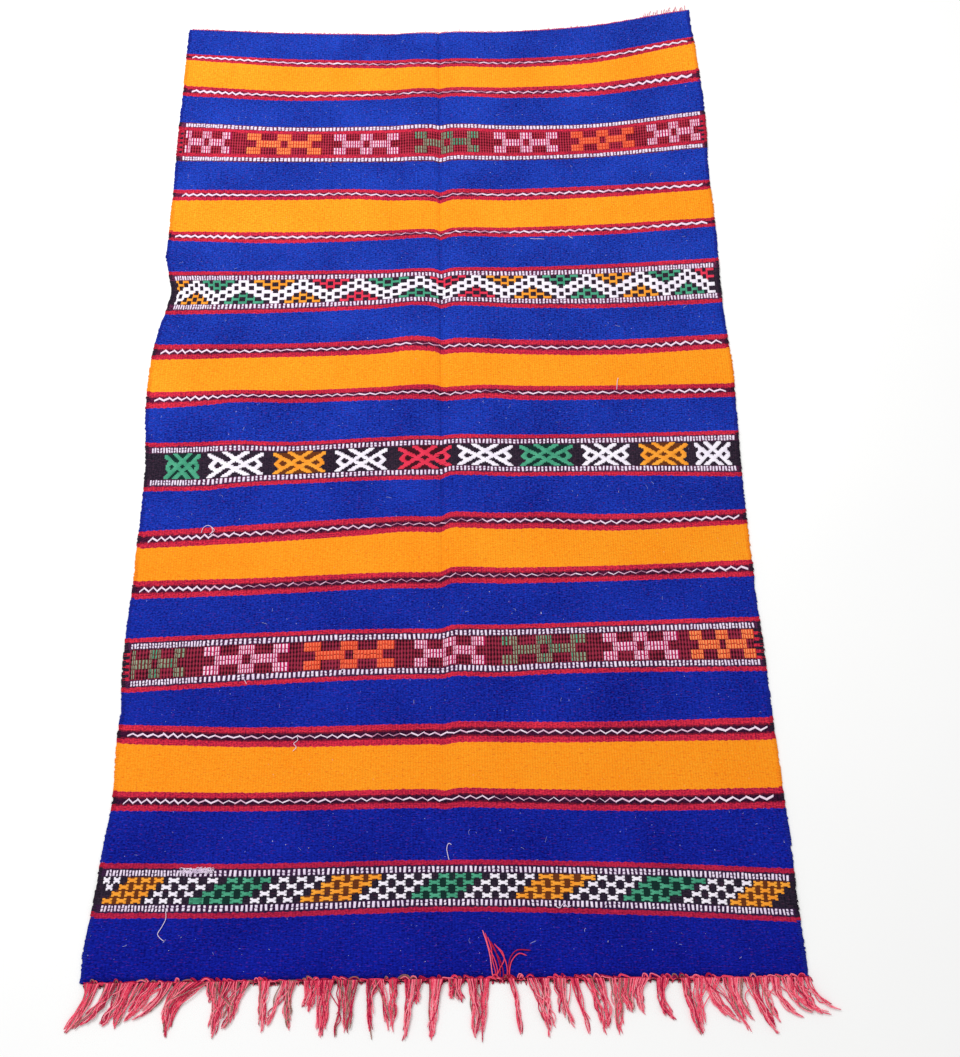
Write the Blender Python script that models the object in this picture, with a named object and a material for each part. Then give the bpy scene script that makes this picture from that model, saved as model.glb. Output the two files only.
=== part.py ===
"""Kilim rug lying flat on a floor, with its knotted warp fringe.

The woven cloth is one sheet. Each row of SECTIONS is one stripe or band, from the fringed
near end to the far end, and the sheet's outline, its uneven stripes and its thickness are
worked out from those rows. FOLDS holds the soft rises either side of the lengthwise crease.
The warp ends that leave the cloth are locks of yarn grown out of a narrow knotted strip.
Lengths in the tables are millimetres. X runs along the wefts, Y along the warps, Z is up.
The tables count from the middle of the near edge; the finished rug is centred on the origin.
"""
import math
from collections import namedtuple

import bmesh
import bpy
from mathutils import Matrix, Vector

MM = 0.001

CLOTH_WIDTH = 1000.0
PLAIN_THICKNESS = 2.2
ZIGZAG_THICKNESS = 2.6
BAND_THICKNESS = 3.0
SECTION_STEP = 1.2
PIECE_GAP = 0.3
MID_STATION = 280.0
OUTER_STATION = 470.0

# A row for each stripe or band, near to far. The four lean columns say how far its far line
# lies beyond that line's place at the middle; the two out columns, how far its selvedges
# stand out from the straight.
Section = namedtuple(
    "Section",
    "name kind length lean_left lean_mid_left lean_mid_right lean_right out_left out_right",
)
NEAR_EDGE = Section("near_edge", "edge", 0, 3, 2, -4, -7, 17, 7)
SECTIONS = [
    Section("blue_11", "blue", 87, 0, -4, -8, -21, 17, 7),
    Section("band_5", "band", 75, 3, 0, -9, -21, 8, 4),
    Section("blue_10", "blue", 73, 4, 0, -12, -12, 3, 5),
    Section("zigzag_10", "zigzag", 28, 3, -1, -8, -9, -3, 3),
    Section("orange_5", "orange", 66, 6, -2, -3, -5, -1, 2),
    Section("zigzag_9", "zigzag", 32, 3, -1, -3, 0, 0, 0),
    Section("blue_9", "blue", 68, -14, -8, 3, 2, -2, 0),
    Section("band_4", "band", 86, -8, -4, 4, 7, 3, -1),
    Section("blue_8", "blue", 64, -13, -9, 3, 4, 3, -4),
    Section("zigzag_8", "zigzag", 29, -11, -8, 0, 5, 0, -3),
    Section("orange_4", "orange", 68, -23, -17, -5, 1, 0, -4),
    Section("zigzag_7", "zigzag", 29, -22, -12, -5, -1, 0, -4),
    Section("blue_7", "blue", 63, -15, -7, 0, -7, -1, -4),
    Section("band_3", "band", 82, -8, -8, -4, 0, 4, -3),
    Section("blue_6", "blue", 62, -6, 1, -5, -2, 7, 0),
    Section("zigzag_6", "zigzag", 28, -3, -3, -5, -5, 10, 1),
    Section("orange_3", "orange", 67, -4, -4, -9, -1, 11, 3),
    Section("zigzag_5", "zigzag", 30, -3, -6, -9, -1, 7, 0),
    Section("blue_5", "blue", 64, -7, -6, -8, -3, 1, -2),
    Section("band_2", "band", 82, 4, -2, 4, 13, -9, -1),
    Section("blue_4", "blue", 63, 2, -5, 2, 15, 2, 1),
    Section("zigzag_4", "zigzag", 21, 1, -2, 4, 13, 0, 1),
    Section("orange_2", "orange", 64, 9, 6, 4, 16, 1, 2),
    Section("zigzag_3", "zigzag", 26, 8, 3, 3, 12, 0, 0),
    Section("blue_3", "blue", 63, 9, 5, 4, 23, 1, 1),
    Section("band_1", "band", 86, 13, 4, 3, 23, 2, 6),
    Section("blue_2", "blue", 57, 15, 3, 8, 30, 2, 7),
    Section("zigzag_2", "zigzag", 24, 17, 2, 13, 36, 1, 5),
    Section("orange_1", "orange", 59, 29, 9, 10, 47, 2, 4),
    Section("zigzag_1", "zigzag", 22, 23, 6, 12, 43, 2, 2),
    Section("blue_1", "blue", 61, 19, 6, 13, 49, 2, -1),
]
CLOTH_LENGTH = sum(section.length for section in SECTIONS)
THICKNESS = {
    "blue": PLAIN_THICKNESS,
    "orange": PLAIN_THICKNESS,
    "zigzag": ZIGZAG_THICKNESS,
    "band": BAND_THICKNESS,
}
MIDDLE_ROW_FROM = 55
COLUMNS = (
    -500, -430, -360, -290, -220, -140, -70, -50, -24, -5,
    14, 38, 58, 130, 210, 290, 360, 430, 500,
)

Fold = namedtuple("Fold", "name middle_x half_width near_y far_y ramp height")
FOLDS = [
    Fold("left bank of the crease", -37, 33, 560, 2200, 420, 5.5),
    Fold("right bank of the crease", 26, 32, 420, 2200, 380, 6.5),
    Fold("soft rise in the far right", 170, 60, 930, 1180, 110, 3.0),
    Fold("soft rise in the near left", -180, 70, 380, 640, 120, 2.5),
]

STRIP_WIDTH = 4.5
STRIP_HEIGHT = 2.6
STRIP_LEFT = -512.0
STRIP_RIGHT = 507.0
LOCK_PITCH = 7.6
LOCK_GAP = 1.4
LOCK_WIDTH_SHARE = 0.78
LEAVING_SHARE = 0.3
TIP_WIDTH = 1.8
LOCK_STATIONS = ((0.32, 2.2), (0.68, 1.8), (1.0, 1.1))
UNEVEN_ENDS = (0.0, 5.0, 2.0, 7.0, 3.0)

# A row for each tuft of the near fringe: where its roots leave the cloth, where its tip
# lies, how far apart its locks end, and how far it bows sideways on the way.
Tuft = namedtuple("Tuft", "root_left root_right tip_x tip_y tip_pitch bow")
TUFTS = [
    Tuft(-509, -466, -534, -62, 2.3, 6),
    Tuft(-461, -434, -477, -52, 2.6, 5),
    Tuft(-431, -388, -446, -45, 2.4, 6),
    Tuft(-384, -342, -390, -63, 2.3, -6),
    Tuft(-337, -330, -334, -22, 2.6, 0),
    Tuft(-326, -280, -318, -66, 3.0, -2),
    Tuft(-266, -250, -260, -62, 3.0, 0),
    Tuft(-237, -210, -231, -69, 3.0, 0),
    Tuft(-203, -183, -197, -33, 3.4, 0),
    Tuft(-180, -164, -177, -71, 3.0, 4),
    Tuft(-160, -134, -149, -69, 3.6, 0),
    Tuft(-115, -96, -105, -79, 2.4, -4),
    Tuft(-92, -71, -83, -64, 3.4, 0),
    Tuft(-62, -40, -61, -77, 2.4, 3),
    Tuft(-28, -8, -24, -77, 2.6, 2),
    Tuft(0, 18, 10, -28, 4.0, 0),
    Tuft(27, 57, 41, -78, 3.2, 0),
    Tuft(87, 95, 99, -73, 2.4, -2),
    Tuft(110, 145, 144, -72, 2.4, -6),
    Tuft(148, 169, 175, -64, 2.6, -4),
    Tuft(173, 188, 198, -70, 2.4, -2),
    Tuft(192, 217, 217, -73, 2.4, -4),
    Tuft(221, 244, 238, -73, 3.4, 0),
    Tuft(249, 283, 266, -49, 4.4, 0),
    Tuft(288, 308, 312, -56, 2.8, -3),
    Tuft(328, 357, 352, -78, 2.4, -6),
    Tuft(360, 383, 400, -62, 2.4, -4),
    Tuft(387, 411, 421, -73, 2.4, -5),
    Tuft(421, 447, 455, -74, 2.4, -3),
    Tuft(451, 474, 490, -57, 2.4, -4),
    Tuft(477, 496, 524, -54, 2.4, -3),
    Tuft(499, 505, 543, -51, 2.4, -3),
]
FLIPPED_TUFT = Tuft(62, 84, 54, 63, 3.4, 4)
FLIPPED_HEIGHT = 4.4
FLIPPED_THINNER = 0.8

FAR_STRIP_WIDTH = 2.6
FAR_STRIP_HEIGHT = 1.8
FAR_STRIP_REACH = 496.0
STUB_PITCH = 24.0
STUB_WIDTH = 5.0
STUB_TIP_WIDTH = 2.0
STUB_TIP_HEIGHT = 1.0
STUB_SLANT = 0.15
STUB_LENGTHS = (3.0, 5.0, 2.5, 4.0, 6.0, 3.5, 2.0)
FRAYED_CORNER_FROM = 400.0
FRAYED_CORNER_EXTRA = 11.0

BLUE = (0.012, 0.020, 0.33, 1.0)
SALMON_RED = (0.72, 0.08, 0.11, 1.0)
ROSE_RED = (0.74, 0.16, 0.19, 1.0)
WOOL_ROUGHNESS = 0.9


def smooth_through(stations, values, at):
    """Value at one place of the smooth curve that passes through the given stations."""
    last = len(stations) - 1
    slopes = []
    for i in range(last + 1):
        before = max(i - 1, 0)
        after = min(i + 1, last)
        slopes.append((values[after] - values[before]) / (stations[after] - stations[before]))
    if at <= stations[0]:
        return values[0] + slopes[0] * (at - stations[0])
    if at >= stations[last]:
        return values[last] + slopes[last] * (at - stations[last])
    i = max(k for k in range(last) if stations[k] <= at)
    span = stations[i + 1] - stations[i]
    t = (at - stations[i]) / span
    leaving = (2 * t**3 - 3 * t**2 + 1) * values[i] + (t**3 - 2 * t**2 + t) * span * slopes[i]
    arriving = (3 * t**2 - 2 * t**3) * values[i + 1] + (t**3 - t**2) * span * slopes[i + 1]
    return leaving + arriving


def lean(section, x):
    """How far the far line of a section lies beyond its place at the middle."""
    stations = (-OUTER_STATION, -MID_STATION, 0.0, MID_STATION, OUTER_STATION)
    left = (section.lean_left, section.lean_mid_left)
    right = (section.lean_mid_right, section.lean_right)
    return smooth_through(stations, left + (0.0,) + right, x)


def ease(t):
    """Soft step from 0 to 1."""
    t = min(max(t, 0.0), 1.0)
    return t * t * (3 - 2 * t)


def lift(x, y):
    """Height of the cloth's underside above the floor."""
    height = 0.0
    for fold in FOLDS:
        across = abs(x - fold.middle_x) / fold.half_width
        if across < 1.0 and fold.near_y < y < fold.far_y:
            crown = math.cos(across * math.pi / 2) ** 2
            ends = ease((y - fold.near_y) / fold.ramp) * ease((fold.far_y - y) / fold.ramp)
            height = max(height, fold.height * crown * ends)
    return height


def edge_x(x, section):
    """Place across the cloth, with the selvedges pulled in or pushed out at this section."""
    share = (abs(x) / (CLOTH_WIDTH / 2)) ** 4
    return x - section.out_left * share if x < 0 else x + section.out_right * share


Row = namedtuple("Row", "along share before section")


def cloth_rows():
    """Rows of the sheet, near to far: two at each change of section, one inside a long one."""
    rows = []
    start = 0.0
    before = NEAR_EDGE
    for section in SECTIONS:
        first = 0.0 if before is NEAR_EDGE else SECTION_STEP / 2
        last = section.length if section is SECTIONS[-1] else section.length - SECTION_STEP / 2
        steps = [first, last]
        if section.length > MIDDLE_ROW_FROM:
            steps.insert(1, section.length / 2)
        for step in steps:
            rows.append(Row(start + step, step / section.length, before, section))
        start += section.length
        before = section
    return rows


def row_y(row, x):
    """Place along the warps of one row at the given place across the cloth."""
    return row.along + (1 - row.share) * lean(row.before, x) + row.share * lean(row.section, x)


def cloth_edge(row, x):
    """The cloth's straight-sided edge at one end row, at the given place across."""
    corners = [(edge_x(column, row.section), row_y(row, column)) for column in COLUMNS]
    for (x0, y0), (x1, y1) in zip(corners, corners[1:]):
        if x < x1 or (x1, y1) == corners[-1]:
            return y0 + (y1 - y0) * (x - x0) / (x1 - x0)


def grid_sheet(columns, rows):
    """Flat grid, with the column and row of each of its vertices."""
    bm = bmesh.new()
    bmesh.ops.create_grid(bm, x_segments=columns, y_segments=rows, size=1.0)
    places = {}
    for vert in bm.verts:
        column = round((vert.co.x + 1) / 2 * columns)
        row = round((vert.co.y + 1) / 2 * rows)
        places[vert] = (column, row)
    return bm, places


def thicken(bm, heights):
    """Raise a copy of the whole sheet by each vertex's own height, and wall it round."""
    raised = {tuple(vert.co): height for vert, height in heights.items()}
    made = bmesh.ops.extrude_face_region(bm, geom=list(bm.faces), use_keep_orig=True)
    for vert in [part for part in made["geom"] if isinstance(part, bmesh.types.BMVert)]:
        vert.co.z += raised[tuple(vert.co)]
    bmesh.ops.recalc_face_normals(bm, faces=list(bm.faces))


def new_piece(name, collection, bm, colour):
    """Turn a finished bmesh, in millimetres, into a named object with its own material."""
    bmesh.ops.recalc_face_normals(bm, faces=list(bm.faces))
    mesh = bpy.data.meshes.new(name)
    bm.to_mesh(mesh)
    bm.free()
    mesh.transform(Matrix.Scale(MM, 4))
    piece = bpy.data.objects.new(name, mesh)
    collection.objects.link(piece)
    material = bpy.data.materials.new(name)
    material.use_nodes = True
    shader = material.node_tree.nodes["Principled BSDF"]
    shader.inputs["Base Color"].default_value = colour
    shader.inputs["Roughness"].default_value = WOOL_ROUGHNESS
    mesh.materials.append(material)
    return piece


def make_cloth(collection):
    """The woven cloth: one sheet, thicker where it is brocaded."""
    rows = cloth_rows()
    bm, places = grid_sheet(len(COLUMNS) - 1, len(rows) - 1)
    heights = {}
    for vert, (i, j) in places.items():
        x = edge_x(COLUMNS[i], rows[j].section)
        y = row_y(rows[j], COLUMNS[i])
        vert.co = (x, y, lift(x, y))
        heights[vert] = THICKNESS[rows[j].section.kind]
    thicken(bm, heights)
    return new_piece("woven_cloth", collection, bm, BLUE)


def lock_cells(tuft):
    """Stretches of the strip that the locks of one tuft grow from."""
    span = tuft.root_right - tuft.root_left
    count = max(1, round(span / LOCK_PITCH))
    pitch = span / count
    cells = []
    for i in range(count):
        left = tuft.root_left + i * pitch + LOCK_GAP / 2
        cells.append((left, left + pitch - LOCK_GAP))
    return cells


def strip_sheet(cells, left, right, inner_y, outer_y, height):
    """Narrow strip along an end of the cloth, cut across at each lock's two sides."""
    xs = [left] + [x for cell in cells for x in cell] + [right]
    bm, places = grid_sheet(len(xs) - 1, 1)
    near, far = sorted((inner_y, outer_y), key=lambda line: line(0.0))
    for vert, (i, j) in places.items():
        x = xs[i]
        y = far(x) if j else near(x)
        vert.co = (x, y, lift(x, y))
    thicken(bm, {vert: height for vert in places})
    return bm


def face_of_cell(bm, cell, normal):
    """The strip's face over one cell that looks the given way."""
    bm.normal_update()
    for face in bm.faces:
        if cell[0] < face.calc_center_median().x < cell[1] and face.normal.dot(normal) > 0.9:
            return face


def grow(bm, face, across, stations):
    """Draw one lock out of a face, station by station: centre, width, low and high level."""
    for centre, heading, width, low, high in stations:
        level = face.calc_center_median()
        face = bmesh.ops.extrude_discrete_faces(bm, faces=[face])["faces"][0]
        sides = [(vert, (vert.co - level).dot(across) > 0, vert.co.z > level.z) for vert in face.verts]
        across = Vector((-heading.y, heading.x, 0.0)).normalized()
        if across.x < 0:
            across.negate()
        for vert, is_right, is_high in sides:
            spot = centre + across * (width / 2 if is_right else -width / 2)
            vert.co = (spot.x, spot.y, high if is_high else low)
    return face


def lock_lines(tuft, cells, root_line):
    """Place and heading of each lock of a tuft at every station, side by side to the tip."""
    tuft_root = Vector(((tuft.root_left + tuft.root_right) / 2, 0.0))
    tuft_tip = Vector((tuft.tip_x, tuft.tip_y))
    bow = Vector((tuft.bow, 0.0))
    aim = (tuft_tip - bend_of(tuft_root, tuft_tip) - bow).normalized()
    beside = Vector((-aim.y, aim.x)) if aim.y < 0 else Vector((aim.y, -aim.x))
    lines = []
    for index, cell in enumerate(cells):
        middle = (cell[0] + cell[1]) / 2
        root = Vector((middle, root_line(middle)))
        short = UNEVEN_ENDS[(index + round(abs(tuft.tip_x))) % len(UNEVEN_ENDS)]
        place = index - (len(cells) - 1) / 2
        tip = tuft_tip + beside * (place * tuft.tip_pitch) - aim * short
        bend = bend_of(root, tip) + bow
        line = []
        for t, _ in LOCK_STATIONS:
            spot = root * (1 - t) ** 2 + bend * (2 * t * (1 - t)) + tip * t**2
            way = (bend - root) * (1 - t) + (tip - bend) * t
            line.append((spot, way.normalized()))
        lines.append(line)
    return lines


def bend_of(root, tip):
    """Where a lock turns from leaving the cloth squarely to aiming at its tip."""
    return Vector((root.x + (tip.x - root.x) * LEAVING_SHARE, (root.y + tip.y) / 2))


def lock_stations(lines, index):
    """Stations of one lock: place, heading, width and height, within the room beside it."""
    stations = []
    for step, (t, height) in enumerate(LOCK_STATIONS):
        spot, way = lines[index][step]
        beside = Vector((-way.y, way.x))
        others = lines[max(index - 1, 0):index] + lines[index + 1:index + 2]
        room = min([abs((other[step][0] - spot).dot(beside)) for other in others] + [LOCK_PITCH])
        width = room * LOCK_WIDTH_SHARE if t < 1.0 else min(TIP_WIDTH, room * LOCK_WIDTH_SHARE)
        stations.append((spot, way, width, height))
    return stations


def make_near_fringe(collection):
    """The near fringe: a knotted strip, its tufts of locks, and one tuft turned back."""
    near_row = cloth_rows()[0]
    tufts = sorted(TUFTS + [FLIPPED_TUFT], key=lambda tuft: tuft.root_left)
    cells = [cell for tuft in tufts for cell in lock_cells(tuft)]

    def inner(x):
        return cloth_edge(near_row, x) - PIECE_GAP

    def outer(x):
        return inner(x) - STRIP_WIDTH

    bm = strip_sheet(cells, STRIP_LEFT, STRIP_RIGHT, inner, outer, STRIP_HEIGHT)
    right = Vector((1, 0, 0))
    fronts = {cell: face_of_cell(bm, cell, Vector((0, -1, 0))) for cell in cells}
    for tuft in TUFTS:
        own = lock_cells(tuft)
        lines = lock_lines(tuft, own, outer)
        for index, cell in enumerate(own):
            stations = lock_stations(lines, index)
            floor = [(spot.to_3d(), way, width, 0.0, high) for spot, way, width, high in stations]
            grow(bm, fronts[cell], right, floor)
    own = lock_cells(FLIPPED_TUFT)
    lines = lock_lines(FLIPPED_TUFT, own, inner)
    for index, cell in enumerate(own):
        top = face_of_cell(bm, cell, Vector((0, 0, 1)))
        raised = bmesh.ops.extrude_discrete_faces(bm, faces=[top])["faces"][0]
        for vert in raised.verts:
            vert.co.z = FLIPPED_HEIGHT
        bm.normal_update()
        back = [
            face for face in bm.faces
            if face.normal.y > 0.9
            and face.calc_center_median().z > STRIP_HEIGHT
            and cell[0] < face.calc_center_median().x < cell[1]
        ][0]
        over = [
            (spot.to_3d(), way, width, STRIP_HEIGHT, STRIP_HEIGHT + high * FLIPPED_THINNER)
            for spot, way, width, high in lock_stations(lines, index)
        ]
        grow(bm, back, right, over)
    return new_piece("near_fringe", collection, bm, SALMON_RED)


def make_far_ends(collection):
    """The far end: a thin strip of turned warp loops with short stubs, frayed at one corner."""
    far_row = cloth_rows()[-1]
    count = round(2 * FAR_STRIP_REACH / STUB_PITCH) - 1
    middles = [-FAR_STRIP_REACH + (i + 1) * STUB_PITCH for i in range(count)]
    cells = [(middle - STUB_WIDTH / 2, middle + STUB_WIDTH / 2) for middle in middles]

    def inner(x):
        return cloth_edge(far_row, x) + PIECE_GAP

    def outer(x):
        return inner(x) + FAR_STRIP_WIDTH

    bm = strip_sheet(cells, -FAR_STRIP_REACH, FAR_STRIP_REACH, inner, outer, FAR_STRIP_HEIGHT)
    for index, (middle, cell) in enumerate(zip(middles, cells)):
        length = STUB_LENGTHS[index % len(STUB_LENGTHS)]
        length += FRAYED_CORNER_EXTRA if middle > FRAYED_CORNER_FROM else 0.0
        tip = Vector((middle + length * STUB_SLANT, outer(middle) + length, 0.0))
        face = face_of_cell(bm, cell, Vector((0, 1, 0)))
        low = lift(middle, outer(middle))
        way = Vector((STUB_SLANT, 1.0))
        grow(bm, face, Vector((1, 0, 0)), [(tip, way, STUB_TIP_WIDTH, low, low + STUB_TIP_HEIGHT)])
    return new_piece("far_warp_ends", collection, bm, ROSE_RED)


def centre_on_origin(pieces):
    """Move the pieces so that the middle of their outline, on the floor, is the origin."""
    corners = [piece.matrix_world @ vert.co for piece in pieces for vert in piece.data.vertices]
    low = Vector([min(corner[axis] for corner in corners) for axis in range(3)])
    high = Vector([max(corner[axis] for corner in corners) for axis in range(3)])
    middle = (low + high) / 2
    for piece in pieces:
        piece.data.transform(Matrix.Translation((-middle.x, -middle.y, -low.z)))


def main():
    for old in list(bpy.data.objects):
        bpy.data.objects.remove(old, do_unlink=True)
    rug = bpy.data.collections.new("kilim_rug")
    bpy.context.scene.collection.children.link(rug)
    centre_on_origin([make_cloth(rug), make_near_fringe(rug), make_far_ends(rug)])


main()
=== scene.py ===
# %% [markdown]
# # A flat-woven kilim, laid on the floor
#
# The real rug is a weft-faced plain weave: salmon warps run along it, and coloured wool wefts
# are beaten down so hard that they hide the warps. Blue and orange stripes alternate, dark
# borders carry a white zigzag, and five wide bands are brocaded with extra yarns that float
# over the ground. At the near end the warps are knotted off and left as a fringe.
#
# The frame brings in the rug's solids: the cloth, the near fringe and the far warp ends. The
# scene dresses them, so it starts by asking where they are.

# %% Load the frame
import math
import random
from collections import namedtuple

import bpy
import numpy as np
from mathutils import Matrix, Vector, noise


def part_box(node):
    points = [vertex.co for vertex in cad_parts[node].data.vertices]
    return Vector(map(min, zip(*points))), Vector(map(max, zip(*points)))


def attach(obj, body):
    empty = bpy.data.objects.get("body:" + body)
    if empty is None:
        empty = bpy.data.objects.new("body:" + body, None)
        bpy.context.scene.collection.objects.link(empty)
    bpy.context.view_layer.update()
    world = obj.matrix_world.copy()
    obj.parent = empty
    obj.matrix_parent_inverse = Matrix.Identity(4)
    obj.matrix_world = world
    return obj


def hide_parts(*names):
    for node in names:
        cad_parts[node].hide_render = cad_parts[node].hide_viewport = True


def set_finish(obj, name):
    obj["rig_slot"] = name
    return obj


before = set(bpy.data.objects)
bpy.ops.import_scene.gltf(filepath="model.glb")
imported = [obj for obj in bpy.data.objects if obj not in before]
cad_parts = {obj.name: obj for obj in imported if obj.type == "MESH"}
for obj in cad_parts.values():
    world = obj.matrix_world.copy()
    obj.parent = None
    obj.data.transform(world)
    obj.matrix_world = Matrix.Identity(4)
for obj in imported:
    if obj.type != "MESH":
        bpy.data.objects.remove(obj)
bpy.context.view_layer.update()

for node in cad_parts:
    low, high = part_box(node)
    print(node, "from", [round(c, 3) for c in low], "to", [round(c, 3) for c in high])

# %% [markdown]
# ## Camera, light and floor
#
# The photograph looks down steeply from just above the fringed end, so that the far end is
# narrower. The camera could be nudged by eye, but the rug's corners fix it: this place and
# these two angles put all four corners where the picture has them. The light is a bright even
# sky with one large soft lamp, because the picture has hardly any shadow.

# %% Camera
LENS = 35.25
CAMERA_PLACE = (0.0461, -0.7769, 1.5875)
CAMERA_YAW = 0.01888
CAMERA_PITCH = 1.21229

gaze = Vector((
    math.sin(CAMERA_YAW) * math.cos(CAMERA_PITCH),
    math.cos(CAMERA_YAW) * math.cos(CAMERA_PITCH),
    -math.sin(CAMERA_PITCH),
))
bpy.ops.object.camera_add(location=CAMERA_PLACE, rotation=gaze.to_track_quat("-Z", "Y").to_euler())
camera = bpy.context.object
camera.data.lens = LENS
bpy.context.scene.camera = camera
print("camera looks", round(math.degrees(CAMERA_PITCH), 1), "degrees down")

# %% Light
SKY_STRENGTH = 0.72
LAMP_PLACE = Vector((-1.3, 1.5, 2.6))
LAMP_SIZE = 1.6
LAMP_POWER = 66.0

bpy.context.scene.view_settings.view_transform = "Standard"
sky = bpy.data.worlds.new("even studio sky")
sky.use_nodes = True
background = sky.node_tree.nodes["Background"]
background.inputs["Color"].default_value = (1.0, 1.0, 1.0, 1.0)
background.inputs["Strength"].default_value = SKY_STRENGTH
bpy.context.scene.world = sky

bpy.ops.object.light_add(type="AREA", location=LAMP_PLACE)
lamp = bpy.context.object
lamp.data.size = LAMP_SIZE
lamp.data.energy = LAMP_POWER
lamp.rotation_euler = (-LAMP_PLACE).to_track_quat("-Z", "Y").to_euler()
print("one lamp of", LAMP_POWER, "W")

# %% [markdown]
# ## Shader maths as Python
#
# A material is a net of nodes, and wiring it by hand hides the idea. One small class wraps a
# socket, so that `1 - mask * 0.5` adds its own Math nodes, and one method makes every other
# kind of node from its type, its settings and what goes into it. A colour is never sent
# through a Math node, which would turn it grey: it goes through `blend`. Colours are written as
# a screen gives them, 0 to 255, and `feed` turns them into the linear light of the shader.

# %% A socket with operators, and a finish
MATT_SPECULAR = 0.05


def srgb(red, green, blue):
    """A colour as a screen gives it, 0 to 255, in the linear light that the shader takes."""
    shares = [channel / 255 for channel in (red, green, blue)]
    return tuple(s / 12.92 if s <= 0.04045 else ((s + 0.055) / 1.055) ** 2.4 for s in shares)


class Socket:
    """One socket of a material, with Python's own operators on it."""

    def __init__(self, finish, output):
        self.finish = finish
        self.output = output

    def maths(self, operation, *values):
        return self.finish.node("ShaderNodeMath", {"operation": operation}, dict(enumerate(values)))

    def __add__(self, other):
        return self.maths("ADD", self, other)

    def __sub__(self, other):
        return self.maths("SUBTRACT", self, other)

    def __rsub__(self, other):
        return self.maths("SUBTRACT", other, self)

    def __mul__(self, other):
        return self.maths("MULTIPLY", self, other)

    def __gt__(self, other):
        return self.maths("GREATER_THAN", self, other)

    __radd__ = __add__
    __rmul__ = __mul__


class Finish:
    """A material that is built as expressions on sockets."""

    def __init__(self, name, roughness=0.9):
        self.material = bpy.data.materials.new(name)
        self.material.use_nodes = True
        self.tree = self.material.node_tree
        self.shader = self.tree.nodes["Principled BSDF"]
        self.feed(self.shader.inputs["Roughness"], roughness)
        self.feed(self.shader.inputs["Specular IOR Level"], MATT_SPECULAR)

    def feed(self, socket, value):
        if isinstance(value, Socket):
            self.tree.links.new(value.output, socket)
        elif isinstance(value, tuple) and socket.type == "RGBA":
            socket.default_value = (*srgb(*value), 1.0)
        else:
            socket.default_value = value

    def node(self, kind, settings=(), sockets=(), output=0):
        made = self.tree.nodes.new(kind)
        for name, value in dict(settings).items():
            setattr(made, name, value)
        for name, value in dict(sockets).items():
            self.feed(made.inputs[name], value)
        return Socket(self, made.outputs[output])

    def blend(self, share, one, other):
        settings = {"data_type": "RGBA"}
        return self.node("ShaderNodeMix", settings, {0: share, 6: one, 7: other}, output=2)

    def sine(self, value):
        return value.maths("SINE", value)

    def object_place(self):
        return self.node("ShaderNodeTexCoord", output=3)

    def axis(self, vector, which):
        return self.node("ShaderNodeSeparateXYZ", {}, {0: vector}, output=which)

    def noise_at(self, vector, scale, detail=2.0):
        sockets = {"Vector": vector, "Scale": scale, "Detail": detail}
        return self.node("ShaderNodeTexNoise", {}, sockets)

    def stretched(self, vector, x, y, z):
        return self.node("ShaderNodeMapping", {}, {"Vector": vector, "Scale": (x, y, z)})

    def bump(self, height, depth, strength=1.0):
        sockets = {"Height": height, "Distance": depth, "Strength": strength}
        self.feed(self.shader.inputs["Normal"], self.node("ShaderNodeBump", {}, sockets))

    def colour(self, value):
        self.feed(self.shader.inputs["Base Color"], value)


print("srgb(128, 128, 128) is", [round(c, 3) for c in srgb(128, 128, 128)])

# %% Floor
FLOOR_SIZE = 9.0
bpy.ops.object.select_all(action="DESELECT")
bpy.ops.mesh.primitive_plane_add(size=FLOOR_SIZE)
floor = bpy.context.object
floor.name = "pale_floor"
pale = Finish("pale matt floor", roughness=0.95)
clouds = pale.noise_at(pale.object_place(), 2.5)
pale.colour(pale.blend(clouds, (246, 246, 246), (250, 250, 249)))
floor.data.materials.append(pale.material)

# %% [markdown]
# ## The rug's own map
#
# No stripe of a hand-woven rug is straight. The tables below list the stripes from the fringed
# end, with the length of each, how far its far line leans ahead of or behind its middle at
# five places across, and how far the selvedges stand out. The folds are the soft banks beside
# the lengthwise crease, the pinches are where it has dragged the wefts, and the wavers are
# spots where the weaver beat a few wefts out of line. Everything after this is given as `u`,
# millimetres across the weave, and `v`, millimetres along it, and `surface` says where that
# point of the cloth really lies. `plan` gives it on the floor in the tables' own millimetres,
# and one shift takes those to the frame, where the solid's box says it is.

# %% The stripes, near to far
MM = 0.001
CLOTH_WIDTH = 1000.0
THICKNESS = {"blue": 2.2, "orange": 2.2, "zigzag": 2.6, "band": 3.0}

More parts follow.
